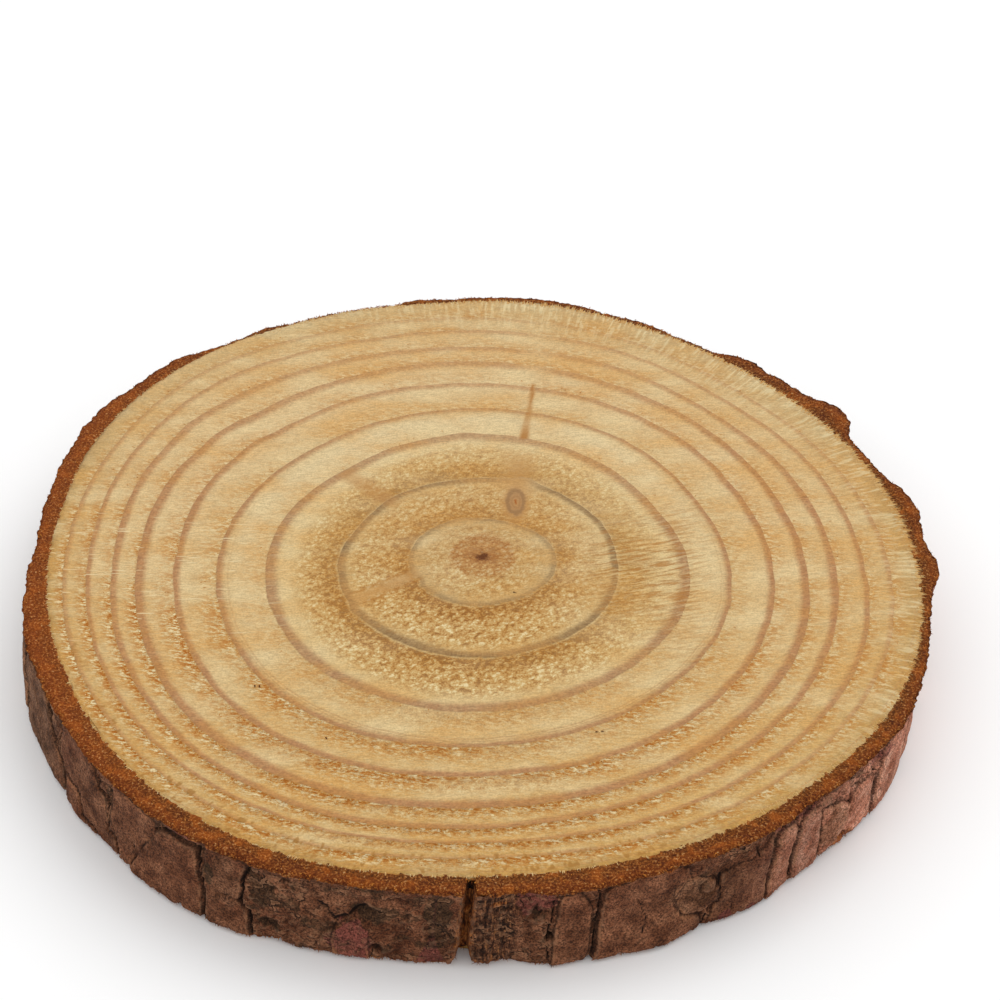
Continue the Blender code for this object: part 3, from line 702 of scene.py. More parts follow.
rugged = (1.0 - plate_here) * 0.9 + 0.15
rugged = np.maximum(rugged, 0.95 * near(wrapped, -103, 14) * smooth_step((wall_height - 0.5) / 1.0))
rugged = np.maximum(rugged, 0.8 * near(wrapped, -64, 5) * smooth_step((wall_height - 5) / 2))
warped = wall_place + 0.5 * np.stack([wall_swells(1.5, number) for number in (48, 49, 50)], axis=-1)
ground = 0.36 * chips(warped / (1.0, 1.0, 0.8), 3.0, 30) + 0.24 * chips(warped, 1.2, 31)
ground += 0.1 * wall_swells(0.6, 32) + 0.08 * wall_swells(0.4, 33) + 0.3 * wall_swells(4.5, 51)
grain = near(wrapped, -88.3, 3.4) * wall_swells((0.42, 0.42, 5.0), 34)
under_rim = smooth_step((THICKNESS - wall_height) / 1.6)
relief = under_rim * (plate_rise - 0.35) - fissure * (0.15 + 0.85 * under_rim)
relief += (0.1 + 0.9 * rugged) * ground * (0.3 + 0.7 * under_rim) + 0.5 * grain
relief += 0.03 * wall_swells(0.4, 35) + 0.07 * wall_swells(2.2, 36) + 0.25 * (1.0 - under_rim)

# The foot of one plate bulges, a bud left a round scar, and there are four pits
relief += 0.8 * near(wrapped, -68.5, 6.5) * smooth_step((6.5 - wall_height) / 5) * plate_here
bud = np.hypot((wrapped + 62.6) * MM_PER_DEGREE, wall_height - 7.4)
relief += 0.35 * smooth_step(1.2 - bud / 1.1) - 0.4 * np.exp(-((bud - 1.15) / 0.25) ** 2)
for pit_angle, pit_height, pit_size, pit_depth in ((-113.5, 3.1, 1.0, 0.7), (-101, 2.4, 0.8, 0.7),
                                                   (-81.5, 4.9, 0.55, 1.2), (-103, 8.2, 1.5, 0.5)):
    pit = np.hypot((wrapped - pit_angle) * MM_PER_DEGREE, wall_height - pit_height)
    relief -= pit_depth * smooth_step(1.4 - pit / pit_size)

# A hollow under the rim at the right of the front, painted near black as shade, and a foot chipped all
# round
black_band = near(wrapped, -49, 5.5) * np.exp(-((wall_height - 12.3) / 0.7) ** 2)
relief -= 0.7 * black_band
chipped = 0.55 * smooth_step(1.0 - (wall_height - foot_height) / 0.7)
wall_radius = round_curve(RIM, bark_angle) + 0.3 * wall_swells(6.0) + relief - chipped
wall_radius -= (CRACK_DEPTH + 1.2 * foot_share) * crack
wall_radius = np.maximum(wall_radius, edge + 0.25 - 1.1 * foot_share)
wall_radius = np.minimum(wall_radius, round_curve(RIM, bark_angle) + 1.7)
rim_crumbs = 0.22 * wall_swells(0.75, 53) + 0.14 * wall_swells(0.4, 54)
wall_radius += rim_crumbs * smooth_step((wall_height - 12.2) / 0.8)
print(f"bark radius from {wall_radius.min():.1f} to {wall_radius.max():.1f} mm")

# %% [markdown]
# The cut bark is softer than wood, so the saw leaves it lower, crumbly and ragged at the rim.
# The last rows go down inside the wood, where nobody sees them, and close the ring of bark.

# %% Cut bark and the hidden rows
CUT_ROWS = 15
HIDDEN = 1.0  # the bark's own skin goes this far into the wood
SOFT_BARK_DROP = 0.16

rim_out = wall_radius[-1] - 0.12
across_cut = np.linspace(0.0, 1.0, CUT_ROWS)[:, None]
cut_radius = rim_out + (edge - HIDDEN - rim_out) * across_cut
cut_place = on_circle(bark_angle, cut_radius, THICKNESS)
crumbs = 0.14 * swells(cut_place, 0.7, 40) + 0.1 * swells(cut_place, 0.4, 41)
crumbs += 0.05 * swells(cut_place, 2.0, 42)
rounded = 0.3 * smooth_step(1.0 - across_cut * CUT_ROWS / 2.2)
beside_wood = 0.6 * smooth_step((edge - 0.3 - cut_radius) / 0.6)
cut_height = np.minimum(THICKNESS - SOFT_BARK_DROP + crumbs - rounded, THICKNESS - 0.03) - beside_wood
crack_in_cut = crack[-1] * smooth_step(1.3 - across_cut * (rim_out - edge + HIDDEN) / 1.3)
cut_height = cut_height - 1.0 * crack_in_cut
inner_height = np.array(((THICKNESS - 1.2,), (1.2,))) + 0.0 * edge
share_out = np.linspace(0.0, 0.92, 5)[:, None]
foot_radius = (edge - HIDDEN) + (wall_radius[0] - 0.02 - edge + HIDDEN) * share_out
foot_rows = 0.2 * (1.0 - smooth_step(share_out / 0.5)) + foot_height * smooth_step(share_out * 1.3)

inner_radius = 0.0 * inner_height + edge - HIDDEN - 0.2
rows_radius = np.concatenate((wall_radius, cut_radius, inner_radius, foot_radius))
rows_height = np.concatenate((wall_height, cut_height, inner_height, foot_rows))
ROWS = len(rows_radius)


def grid_faces(rows, columns):
    """Four-sided faces of a grid that closes on itself both ways."""
    row, column = np.meshgrid(np.arange(rows), np.arange(columns), indexing="ij")
    up, on = (row + 1) % rows, (column + 1) % columns
    corners = (row * columns + column, row * columns + on, up * columns + on, up * columns + column)
    return np.stack(corners, axis=-1).reshape(-1, 4).tolist()


print(f"{ROWS} rows round the section, cut bark {float((rim_out - edge).mean()):.1f} mm wide on average")

# %% [markdown]
# The material needs to know where it is: on plate or gap, on a raised edge or in a hollow, on the
# weathered left or the pinkish right, which is also painted paler as if lit. Raised edges and
# hollows come from comparing each height with the average round it: raised ones are painted paler,
# partly as wear and partly as painted highlight, and hollows get painted shade.

# %% What the bark's material reads
def averaged(values, reach):
    """Average over a square round each vertex of the wall."""
    padded = np.pad(values, ((reach, reach), (0, 0)), mode="edge")
    upright = sum(padded[i:i + len(values)] for i in range(2 * reach + 1)) / (2 * reach + 1)
    return sum(np.roll(upright, i, axis=1) for i in range(-reach, reach + 1)) / (2 * reach + 1)


def patch(angle, height, half_width, half_height):
    """An uneven patch on the wall, 1 inside and 0 outside."""
    off = np.hypot((wrapped - angle) / half_width, (wall_height - height) / half_height)
    return smooth_step((1.25 - off + 0.5 * wall_swells(1.6, 43)) / 0.35)


full_relief = relief - CRACK_DEPTH * crack
# Above the near average a place is painted paler, partly rubbed wear and partly painted highlight; below
# it, painted shade.
worn = np.clip((full_relief - averaged(full_relief, 2)) / 0.2, -1, 1)
# Painted shade: the farther a place lies below the wide average round it, the darker it is painted.
hollow = np.clip((averaged(full_relief, 5) - full_relief) / 0.8 - 0.1, 0, 1)
# The hollow under the rim gets painted shade, near black.
hollow = np.maximum(hollow, 0.9 * black_band)
# Dark olive patches, two of them on pits, and more in the rugged ground.
mouldy = np.maximum.reduce([
    patch(-101.5, 8.3, 2.6, 1.5), patch(-94.3, 9.0, 1.5, 3.2), 0.8 * patch(-113.6, 3.0, 1.3, 0.9),
    0.8 * patch(-114.6, 8.5, 1.5, 2.4), 0.7 * patch(-108.0, 5.2, 2.2, 1.0),
    0.8 * patch(-121.3, 9.0, 0.7, 2.0), 0.7 * patch(-88.0, 11.0, 1.6, 1.2),
    0.6 * rugged * smooth_step((wall_swells(2.4, 52) - 0.1) / 0.2),
])
corner_half = np.maximum(1.6 * (5.8 - wall_height) / 5.0, 0.05)  # a corner that narrows upward
purple_corner = smooth_step((1.2 - np.abs(wrapped + 94.7) / corner_half) / 0.4)
purple_corner *= smooth_step(wall_height / 0.8)
purple = np.maximum.reduce([
    patch(-103.8, 3.5, 2.3, 3.0), purple_corner, patch(-83.7, 11.4, 2.4, 2.2),
    patch(-59.8, 1.0, 0.8, 0.8), patch(-56.3, 0.8, 0.7, 0.6), patch(-49.5, 12.3, 5.0, 0.8),
    0.7 * patch(-35.5, 11.6, 2.0, 1.2), 0.7 * patch(-125.0, 12.6, 3.5, 0.6),
])
grey = np.maximum.reduce([
    smooth_step((-146.0 - wrapped) / 10.0) + 0.0 * wall_height, 0.75 * patch(-43.6, 5.5, 2.0, 3.2),
    0.8 * smooth_step((wrapped - 120.0) / 30.0) + 0.0 * wall_height,
    0.7 * patch(-64.5, 7.0, 2.6, 3.0), 0.35 * patch(-140.0, 6.0, 7.0, 5.0),
    0.55 * patch(-119.5, 8.0, 2.0, 4.0), 0.35 * smooth_step(wall_swells(9.0, 44) + 0.4),
])
# The right-hand side: pinkish bark, also painted paler as if lit from the right.
pink = smooth_step((wrapped + 60.0) / 22.0) * smooth_step((42.0 - wrapped) / 34.0)
torn = np.maximum.reduce([
    smooth_step(1.2 - (THICKNESS - wall_height) / 0.75 + 0.8 * wall_swells(1.5, 45)),
    smooth_step(1.0 - (wall_height - foot_height) / 0.55 + 0.6 * wall_swells(1.2, 46)),
    0.6 * smooth_step(crack * 1.4), 0.6 * patch(-41.0, 1.2, 2.2, 1.3), 0.5 * patch(-88.3, 10.9, 2.0, 0.4),
    0.52 * smooth_step(1.7 - np.abs(from_crack) / 1.0),
    0.6 * near(wrapped, -88.3, 3.4) * smooth_step(1.0 - wall_height / 4.0),
])
torn = torn * (1.0 - 0.6 * black_band)
fibrous = near(wrapped, -88.0, 4.2) * smooth_step((12.9 - wall_height) / 1.2)

# %% [markdown]
# All of it goes to the vertices of one closed mesh: the wall's values in its own rows, others in
# the rows of the cut bark, and plain ones where nothing shows. A layer is 0 beside the wood and 1
# at the rim. The mesh stays inside the CAD box.

# %% Make the mesh of the bark
def over_all_rows(on_wall, on_cut=0.0, on_rest=0.0):
    """Values of the wall, then of the cut rows and of the rows that don't show."""
    parts = (wall_height, on_wall), (cut_radius, on_cut), (rows_height[WALL_ROWS + CUT_ROWS:], on_rest)
    return np.concatenate([0.0 * like + values for like, values in parts])


layer = np.clip((cut_radius - edge) / np.maximum(rim_out - edge, 0.35), 0.0, 1.0)
cut_here = smooth_step(across_cut * CUT_ROWS / 1.5)
wall_cut = smooth_step((wall_height - 12.75 + 0.25 * wall_swells(1.0, 47)) / 0.25) * 0.8
bark_places = placed(bark_angle, rows_radius, np.clip(rows_height, 0.0, THICKNESS))
bark_places = np.clip(bark_places, cad_low, cad_high)
bark = closed_mesh(
    "bark",
    bark_places.reshape(-1, 3),
    grid_faces(ROWS, COLUMNS),
    cut=over_all_rows(wall_cut, np.maximum(cut_here, 0.8), 1.0),
    layer=over_all_rows(1.0, layer, 0.6),
    worn=over_all_rows(worn),
    hollow=over_all_rows(hollow, crack_in_cut),
    purple=over_all_rows(purple),
    mouldy=over_all_rows(mouldy),
    grey=over_all_rows(grey),
    pink=over_all_rows(pink),
    torn=over_all_rows(torn, 0.0, 1.0),
    fibrous=over_all_rows(fibrous),
    plate_tone=over_all_rows(plate_tone, 0.5, 0.5),
    plate=over_all_rows(plate_here * (1.0 - smooth_step(rugged - 0.3))),
    to_edge=over_all_rows(to_edge, 2.0, 2.0),
    to_gap=over_all_rows(to_gap, 3.0, 3.0),
)

# %% [markdown]
# The saw also tears up loose fibres: a pale fringe along the border of the wood, orange crumbs on
# the cut bark, and hanging threads at the lower edge and in the crack. Hair particles would look
# finer, but they aren't a mesh. Each fibre here is a thin three-sided spike, closed at its foot,
# and all of them together make one piece.

# %% Lay the torn fibres
FIBRE_SEED = 5
draws = np.random.default_rng(FIBRE_SEED)
fibre_sets = []


def lay_fibres(angle, radius, height, outward, sideways, upward, *looks):
    """Keeps a set of fibres by foot, direction, length, width and tone: arrays or single numbers."""
    turn = np.radians(angle)
    level = 0.0 * turn
    out = np.stack((np.cos(turn), np.sin(turn), level), axis=-1)
    aside = np.stack((-np.sin(turn), np.cos(turn), level), axis=-1)
    way = out * np.reshape(outward, (-1, 1)) + aside * np.reshape(sideways, (-1, 1))
    way[:, 2] += upward
    way /= np.linalg.norm(way, axis=1)[:, None]
    fibre_sets.append((placed(angle, radius, height) / MM, way, *(level + look for look in looks)))


def between(low, high):
    return draws.uniform(low, high, count)


def about(middle, width):
    return draws.normal(middle, width, count)


def round_bark(values, angle):
    """A value of each bark column at any angle."""
    return np.interp(angle_apart(angle, FRONT_FROM) % 360.0, bark_angle - FRONT_FROM, values)


# Pale fringe over the border, longest where the saw left the wood at the right and the back
count = 3000
angle = between(-180, 180)
lay_fibres(angle, border(angle) + between(-0.6, -0.1), THICKNESS - 0.16, 1.0, about(0, 0.3),
           between(-0.06, 0.04), between(0.3, 0.6), between(0.12, 0.22), between(0.7, 0.95))
count = 1900
angle = between(-55, 122)
lay_fibres(angle, border(angle) + between(-0.9, -0.3), THICKNESS - 0.12, 1.0, about(0, 0.07),
           between(-0.05, 0.0), 0.35 + combed(angle) * (0.3 + comb_teeth(angle)) * between(0.25, 1.0),
           between(0.12, 0.26), between(0.68, 0.88))

# Crumbs and short threads on the cut bark
count = 3600
angle = between(-180, 180)
inner = wood_edge(angle)
width = round_bark(wall_radius[-1], angle) - inner
lay_fibres(angle, inner + width * between(0.05, 0.98), THICKNESS - 0.24, about(0.2, 1.0), about(0, 0.7),
           between(0.0, 0.45), between(0.14, 0.38), between(0.1, 0.24), between(0.1, 0.6))

# Ragged threads along the rim and the lower edge
count = 1500
angle = between(-180, 180)
lay_fibres(angle, round_bark(wall_radius[-1], angle) - 0.15, 13.0 + between(-0.25, 0.15), 1.0,
           about(0, 0.6), between(-0.6, 0.2), between(0.1, 0.26), between(0.1, 0.2), between(0.1, 0.5))
count = 2200
angle = between(-180, 180)
thick = 1.0 + 0.8 * near(angle, -89, 6) + 0.8 * near(angle, -41, 6)
lay_fibres(angle, round_bark(wall_radius[1], angle) - 0.1,
           0.12 + round_bark(foot_height, angle) + between(0.0, 0.35),
           between(0.2, 1.0), about(0, 0.7), between(-1.2, 0.1),
           between(0.2, 0.5) * thick, between(0.08, 0.18), between(0.05, 0.5))

# A few dark crumbs lie on the wood
crumb_angle, crumb_radius = np.array(((-138, 37.5), (-138.6, 37.9), (-119, 39.3), (-66, 36.4), (-61, 8.4),
                                      (-67.1, 36.2))).T
lay_fibres(crumb_angle, crumb_radius, THICKNESS - 0.1, 0.6, 1.0, 0.05, 0.45, 0.22, 0.0)

# Slivers of soft wood that stand just outside each ring, most of them at the front
count = 5200
angle = between(-180, 180)
ring = draws.choice(np.arange(3, 10), count, p=(0.08, 0.12, 0.2, 0.18, 0.17, 0.15, 0.10))
age = ring + between(0.02, 0.45) ** 1.2
kept = between(0, 1) < 0.12 + 0.88 * near(angle, -105, 90)
lay_fibres(angle[kept], year_radius(age, angle)[kept], THICKNESS - 0.19,
           about(0, 1.0)[kept], about(0, 0.5)[kept], between(0.05, 0.3)[kept],
           between(0.2, 0.5)[kept], between(0.07, 0.17)[kept], between(0.6, 0.92)[kept])

# %% [markdown]
# A fibre is four corners: three round its foot and one at its tip. Numpy turns all the sets into
# one list of corners, and the same four triangles are repeated for every fibre.

# %% Turn the fibres into one mesh
feet, ways, lengths, widths, tones = (np.concatenate(column) for column in zip(*fibre_sets))
aside = np.cross(ways, (0.0, 0.0, 1.0))
aside /= np.linalg.norm(aside, axis=1)[:, None] + 1e-9
above = np.cross(aside, ways)
half_widths = 0.5 * widths[:, None]
corners = np.stack((feet - aside * half_widths, feet + aside * half_widths, feet + above * half_widths,
                    feet + ways * lengths[:, None]), axis=1)
corners = np.clip(corners * MM, np.array(cad_low) + (0, 0, 0.02 * MM), cad_high)
first = 4 * np.arange(len(feet))[:, None, None]
sides = np.array(((0, 1, 2), (1, 0, 3), (2, 1, 3), (0, 2, 3)))
fibres = closed_mesh("torn_fibres", corners.reshape(-1, 3), (first + sides).reshape(-1, 3).tolist(),
                     smooth=False, tone=np.repeat(tones, 4))
print(f"{len(feet)} fibres, {float(lengths.mean()):.2f} mm long on average")

# %% [markdown]
# Colours are picked as sRGB hex values, as a paint program shows them, and Blender's shaders work
# in linear light, so one function converts them. A second one adds a node with its settings and
# links. The others below say what most layers of a material do: they keep to a distance, run out
# from the pith, or lay one colour over another. So a material reads from top to bottom.

# %% Helpers for the materials
MODE_OF = {"Mix": "data_type", "Mapping": "vector_type"}


def colour(hex_value):
    """An sRGB hex value as linear red, green, blue and alpha."""
    parts = [int(hex_value[i:i + 2], 16) / 255.0 for i in (1, 3, 5)]
    return [part / 12.92 if part <= 0.04045 else ((part + 0.055) / 1.055) ** 2.4 for part in parts] + [1.0]


def add(kind, *inputs, out=None, stops=(), **named):
    """Adds a node to the tree at hand and returns one output.

    Inputs are in the order they show, or by name with a capital. A second word in the kind is the
    node's operation or type. A hex value stands for its colour.
    """
    kind, _, mode = kind.partition(" ")
    node = tree.nodes.new("ShaderNode" + kind)
    if mode:
        setattr(node, MODE_OF.get(kind, "operation"), mode)
    for name in filter(str.islower, named):
        setattr(node, name, named[name])
    wired = list(zip([socket for socket in node.inputs if socket.enabled], inputs))
    wired += [(node.inputs[name.replace("_", " ")], named[name]) for name in named if not name.islower()]
    for socket, value in wired:
        if isinstance(value, bpy.types.NodeSocket):
            tree.links.new(value, socket)
        else:
            socket.default_value = colour(value) if isinstance(value, str) else value
    for i, (position, hex_value) in enumerate(stops):
        elements = node.color_ramp.elements
        element = elements[i] if i < 2 else elements.new(position)
        element.position = position
        element.color = colour(hex_value)
    return node.outputs[out] if out else next(socket for socket in node.outputs if socket.enabled)


def joined(kind, first, *others):
    """Takes values up two by two, as in a long sum or product."""
    for other in others:
        first = add(kind, first, other)
    return first


def away_from(value, middle):
    return add("Math ABSOLUTE", add("Math SUBTRACT", value, middle))


def painted(under, over, value, start, full, most=1.0, *only):
    """Lays a colour over another, from nothing at the start to the most at the full value."""
    share = joined("Math MULTIPLY", add("MapRange", value, start, full, 0.0, most), *only)
    return add("Mix RGBA", share, under, over)


def lying_noise(size, turn=0.0, **settings):
    """Noise whose grains have the given size in millimetres and lie turned by some degrees."""
    where = add("Mapping TEXTURE", Vector=place, Rotation=(0.0, 0.0, np.radians(turn)), Scale=size)
    return add("TexNoise", Vector=where, Scale=1.0, **settings)


def spoke_noise(per_radian, length, detail):
    """Noise of marks that run out from the pith, narrow across and long outward."""
    way = add("VectorMath MULTIPLY", add("VectorMath NORMALIZE", centred), (per_radian,) * 3)
    outward = add("Math MULTIPLY", add("VectorMath LENGTH", centred, out="Value"), 1.0 / length)
    where = add("VectorMath ADD", way, add("CombineXYZ", 0.0, 0.0, outward))
    return add("TexNoise", Vector=where, Scale=1.0, Detail=detail)


def start_material(name, *values):
    """A new material with an empty tree, and what the mesh keeps at its vertices, by name."""
    global tree
    material = bpy.data.materials.new(name)
    material.use_nodes = True
    tree = material.node_tree
    tree.nodes.clear()
    return material, {value: add("Attribute", attribute_name=value, out="Fac") for value in values}


def places_in_mm():
    return add("VectorMath MULTIPLY", add("TexCoord", out="Object"), (1 / MM,) * 3)


def dress(thing, material, base, bump=None, **finish):
    """Gives the thing its material, with a base colour, a finish and a height that bumps it."""
    if bump:
        finish["Normal"] = add("Bump", **bump, out="Normal")
    surface = add("BsdfPrincipled", Base_Color=base, **finish)
    tree.links.new(surface, tree.nodes.new("ShaderNodeOutputMaterial").inputs["Surface"])
    thing.data.materials.append(material)
    print(f"{material.name}: {len(tree.nodes)} nodes")


# %% [markdown]
# The wood is rough-sawn pine. Sawing across the grain cuts the fibres off like a brush, so the
# face is quite matt: IOR 1.5 and roughness about 0.75 suit raw wood. Its colour follows the year: a
# brown pith, warm young wood, and paler wood outside. Each year's dark line is greyish near the
# pith and pinkish brown farther out.

# %% Material: rough-sawn pine
EARLY_WOOD = (
    (0.0, "#b08a58"), (0.07, "#b89360"), (0.096, "#c09f6c"), (0.104, "#b88e55"), (0.15, "#bd9660"),
    (0.185, "#c6a570"), (0.20, "#cdb07c"), (0.205, "#b68f52"), (0.235, "#c6a46c"), (0.27, "#d4ba88"),
    (0.305, "#d3b785"), (0.36, "#d4bc8e"), (0.405, "#ceaf7b"), (0.50, "#d1b484"), (0.60, "#cfaf7c"),
    (0.75, "#cdac78"), (0.92, "#c3a06a"), (0.955, "#bb9860"), (0.982, "#ac8750"), (1.0, "#8a6636"),
)
DARK_WOOD = (
    (0.0, "#947750"), (0.20, "#876740"), (0.23, "#a47c57"), (0.32, "#a97f56"), (0.45, "#ad7e53"),
    (0.75, "#ae7d51"), (1.0, "#b38454"),
)
TUFTS = ((0.0, "#86500f"), (0.2, "#a56e29"), (0.4, "#b98a4b"), (0.6, "#c49f63"), (0.8, "#d3b87f"),
         (1.0, "#e6d4a5"))

wood_material, read = start_material("rough-sawn pine", "age", "tufts", "dark_wood", "drag", "stain",
                                     "line_stain")
place = places_in_mm()
centred = add("VectorMath SUBTRACT", place, (*PITH, 0.0))
centred = add("VectorMath MULTIPLY", centred, (1.0, 1.0, 0.0))
to_right = add("SeparateXYZ", centred, out="X")
to_back = add("SeparateXYZ", centred, out="Y")
toward_front = add("MapRange", to_back, 20.0, -45.0)
age = read["age"]
wood_colour = add("ValToRGB", add("Math MULTIPLY", age, 1.0 / YEARS), stops=EARLY_WOOD)
line_colour = add("ValToRGB", add("Math MULTIPLY", age, 1.0 / YEARS), stops=DARK_WOOD)

# %% [markdown]
# Toward the front the outer years are warmer, toward the back paler, with clouds of both. The paler
# back is partly paler wood and partly painted sheen, as a grazing view gives. Round the pith the wood
# is rust-brown out to about 4 mm, with a ragged, darker rim.

# %% Warm and pale wood
wood_colour = painted(wood_colour, "#c3994f", to_back, 20.0, -45.0, 0.5)
wood_colour = painted(wood_colour, "#a98043", age, 9.1, 9.8, 0.5, toward_front)
# Paler toward the back: partly paler wood and partly painted sheen.
wood_colour = painted(wood_colour, "#d9c496", age, 9.1, 9.8, 0.5, add("MapRange", to_back, 10.0, 40.0))
clouds = lying_noise((11.0, 5.0, 11.0), Detail=4.0)
wood_colour = painted(wood_colour, "#cf9b52", clouds, 0.48, 0.68, 0.5)
wood_colour = painted(wood_colour, "#dcc798", clouds, 0.5, 0.32, 0.5)

ragged = add("TexNoise", Vector=place, Scale=1 / 0.9, Detail=4.0, Roughness=0.7, out="Color")
ragged = add("VectorMath SUBTRACT", ragged, (0.5, 0.5, 0.5))


def torn_distance(wander, middle=(0.0, 0.0), squeeze=(1.0, 1.0)):
    """Distance from a middle in the plane of the cut, with a torn outline."""
    off = add("VectorMath ADD", add("VectorMath MULTIPLY", ragged, (*wander, 0.0)), centred)
    off = add("VectorMath SUBTRACT", off, (*middle, 0.0))
    return add("VectorMath LENGTH", add("VectorMath MULTIPLY", off, (*squeeze, 0.0)), out="Value")


pith_off = torn_distance((3.0, 3.0))
wood_colour = painted(wood_colour, "#a8703c", pith_off, 4.8, 4.0, 0.7)
wood_colour = painted(wood_colour, "#8c4f1c", away_from(pith_off, 3.6), 0.9, 0.1, 0.5)

# %% [markdown]
# A ring's dark line is hatched by short marks across it, and three faint false rings run beside
# the real ones. The blade ran from left to right, so the torn grain lies that way, in marks
# 0.2 mm wide and 1 mm long.

# %% Dark lines and fine grain
hatch = add("MapRange", spoke_noise(75.0, 1.5, 1.0), 0.3, 0.7, 0.84, 1.12)
line_colour = painted(line_colour, "#b57f3f", clouds, 0.44, 0.6, 0.55)
# The dark lines fade toward the back, partly as painted sheen.
line_share = add("Math MULTIPLY", read["dark_wood"], add("MapRange", to_back, 10.0, 45.0, 1.0, 0.65))
line_share = add("Math MULTIPLY", line_share, hatch, use_clamp=True)
for false_age, reach in ((3.835, 0.034), (3.77, 0.03), (9.74, 0.05)):
    false_ring = add("MapRange", away_from(age, false_age), reach, 0.2 * reach, 0.0, 0.62)
    false_ring = add("Math MULTIPLY", false_ring, toward_front)
    line_share = add("Math MAXIMUM", line_share, false_ring)
wood_colour = add("Mix RGBA", line_share, wood_colour, line_colour)

fine = lying_noise((0.9, 0.2, 0.9), 5.0, Detail=1.0)
grain = add("TexNoise", Vector=place, Scale=1 / 0.24, Detail=1.0)
shade = add("MapRange", add("Math ADD", fine, grain), 0.7, 1.3, 0.77, 1.15)
wood_colour = add("VectorMath SCALE", wood_colour, shade)

# %% [markdown]
# Near the border at the right and the back the fibres stand like a comb, pale with brown between.
# At the left the blade drew a few pale scratches across the rings. Torn specks, orange-brown pits
# and pale slivers, lie mostly just outside each ring.

# %% Comb, scratches and specks
to_comb = add("VectorMath DOT_PRODUCT", centred, (0.82, 0.57, 0.0), out="Value")
comb = add("Math MULTIPLY", add("MapRange", age, 7.8, 9.8), add("MapRange", to_comb, 8.0, 28.0))
rays = spoke_noise(120.0, 3.0, 2.0)
wood_colour = painted(wood_colour, "#b08a58", rays, 0.5, 0.62, 0.42, comb)
wood_colour = painted(wood_colour, "#e0cfa2", rays, 0.48, 0.38, 0.5, comb)
scratches = lying_noise((3.0, 0.24, 3.0), 3.0, Detail=0.0)
wood_colour = painted(wood_colour, "#e5d3a6", scratches, 0.73, 0.79, 0.7,
                      add("MapRange", to_right, -22.0, -32.0),
                      add("MapRange", away_from(to_back, -4.0), 16.0, 8.0))

this_year = add("Math FRACT", age)
torn_share = joined(
    "Math MULTIPLY",
    add("MapRange", this_year, 0.02, 0.6, 1.0, 0.12),
    add("MapRange", age, 2.95, 4.8, 0.25, 1.0),
    add("MapRange", to_back, 25.0, -30.0, 0.3, 1.0),
    add("MapRange", clouds, 0.36, 0.54, 0.45, 1.25),
    add("Math SUBTRACT", 1.0, line_share, use_clamp=True),
    add("MapRange", to_right, 12.0, 42.0, 1.0, 0.55),
    add("MapRange", age, 9.55, 9.8, 1.0, 0.35),
)
pits = lying_noise((0.85, 0.34, 0.85), -8.0, Detail=3.0, Roughness=0.7)
wood_colour = add("Mix RGBA", add("Math MULTIPLY", torn_share, 0.5), wood_colour, "#cf9747")
wood_colour = painted(wood_colour, "#a5611a", pits, 0.5, 0.56, 1.15, torn_share)
slivers = add("MapRange", pits, 0.47, 0.41, 0.0, 1.2)
slivers = add("Math MULTIPLY", slivers, torn_share, use_clamp=True)
wood_colour = add("Mix RGBA", slivers, wood_colour, "#e8d5a6")

# %% [markdown]
# The tufts of the young years are rounded grains 0.7 mm across, pale on top, partly paler lifted
# fibre and partly painted highlight, and brown where they meet and just outside a ring where the face
# drops, which is painted shade. The streaks that the saw dragged across the right-hand side are 0.5 mm
# wide and rise by 12 degrees. Soft brown blots of sap lie in two rows near the border, at the left
# and the front.

# %% Tufts, streaks and blots
warp = add("TexNoise", Vector=place, Scale=1 / 0.9, Detail=2.0, out="Color")
warped_place = add("VectorMath ADD", add("VectorMath MULTIPLY", warp, (0.8, 0.8, 0.8)), place)
leaning = add("Mapping TEXTURE", Vector=warped_place, Rotation=(0.0, 0.0, np.radians(35.0)),
              Scale=(0.82, 0.56, 0.7))
to_top = add("Math SUBTRACT", 1.0, add("TexVoronoi", Vector=leaning, Scale=1.0))
tuft_noise = add("TexNoise", Vector=place, Scale=1 / 1.5, Detail=4.0, Roughness=0.75)
# Higher places take paler colours, partly paler lifted fibre and partly painted highlight; lower ones and
# the drop just outside a ring take brown, painted shade.
tuft_height = joined("Math ADD", add("Math MULTIPLY", tuft_noise, 1.4), to_top, grain,
                     add("MapRange", this_year, 0.42, 0.06, 0.0, -0.34))
tuft_colour = add("ValToRGB", add("MapRange", tuft_height, 1.22, 2.12), stops=TUFTS)
wood_colour = painted(wood_colour, tuft_colour, read["tufts"], 0.0, 1.0, 0.85)

streaks = lying_noise((3.2, 0.46, 3.2), 12.0, Detail=3.0, Roughness=0.6)
dark_streaks = add("MapRange", streaks, 0.49, 0.62, 0.0, 0.75)
dark_streaks = add("Math MULTIPLY", dark_streaks, read["drag"], use_clamp=True)
wood_colour = add("Mix RGBA", dark_streaks, wood_colour, "#a66c28")
wood_colour = painted(wood_colour, "#d8c08a", streaks, 0.46, 0.34, 0.5, read["drag"])
off_row = away_from(away_from(age, 9.3), 0.4)
wood_colour = painted(wood_colour, "#9a6a28", spoke_noise(70.0, 1.6, 1.0), 0.55, 0.65, 0.7,
                      add("MapRange", off_row, 0.26, 0.12), add("MapRange", to_back, -10.0, -24.0),
                      add("MapRange", to_right, 32.0, 18.0))

# %% [markdown]
# Last come the stained wood and the drying line. The knot is a ring round a ring round a dot, and
# the pith a small dark star with torn edges. The grain, the tufts, the slivers and the streaks
# also bump the surface by up to 0.2 mm, which is finer than the mesh.

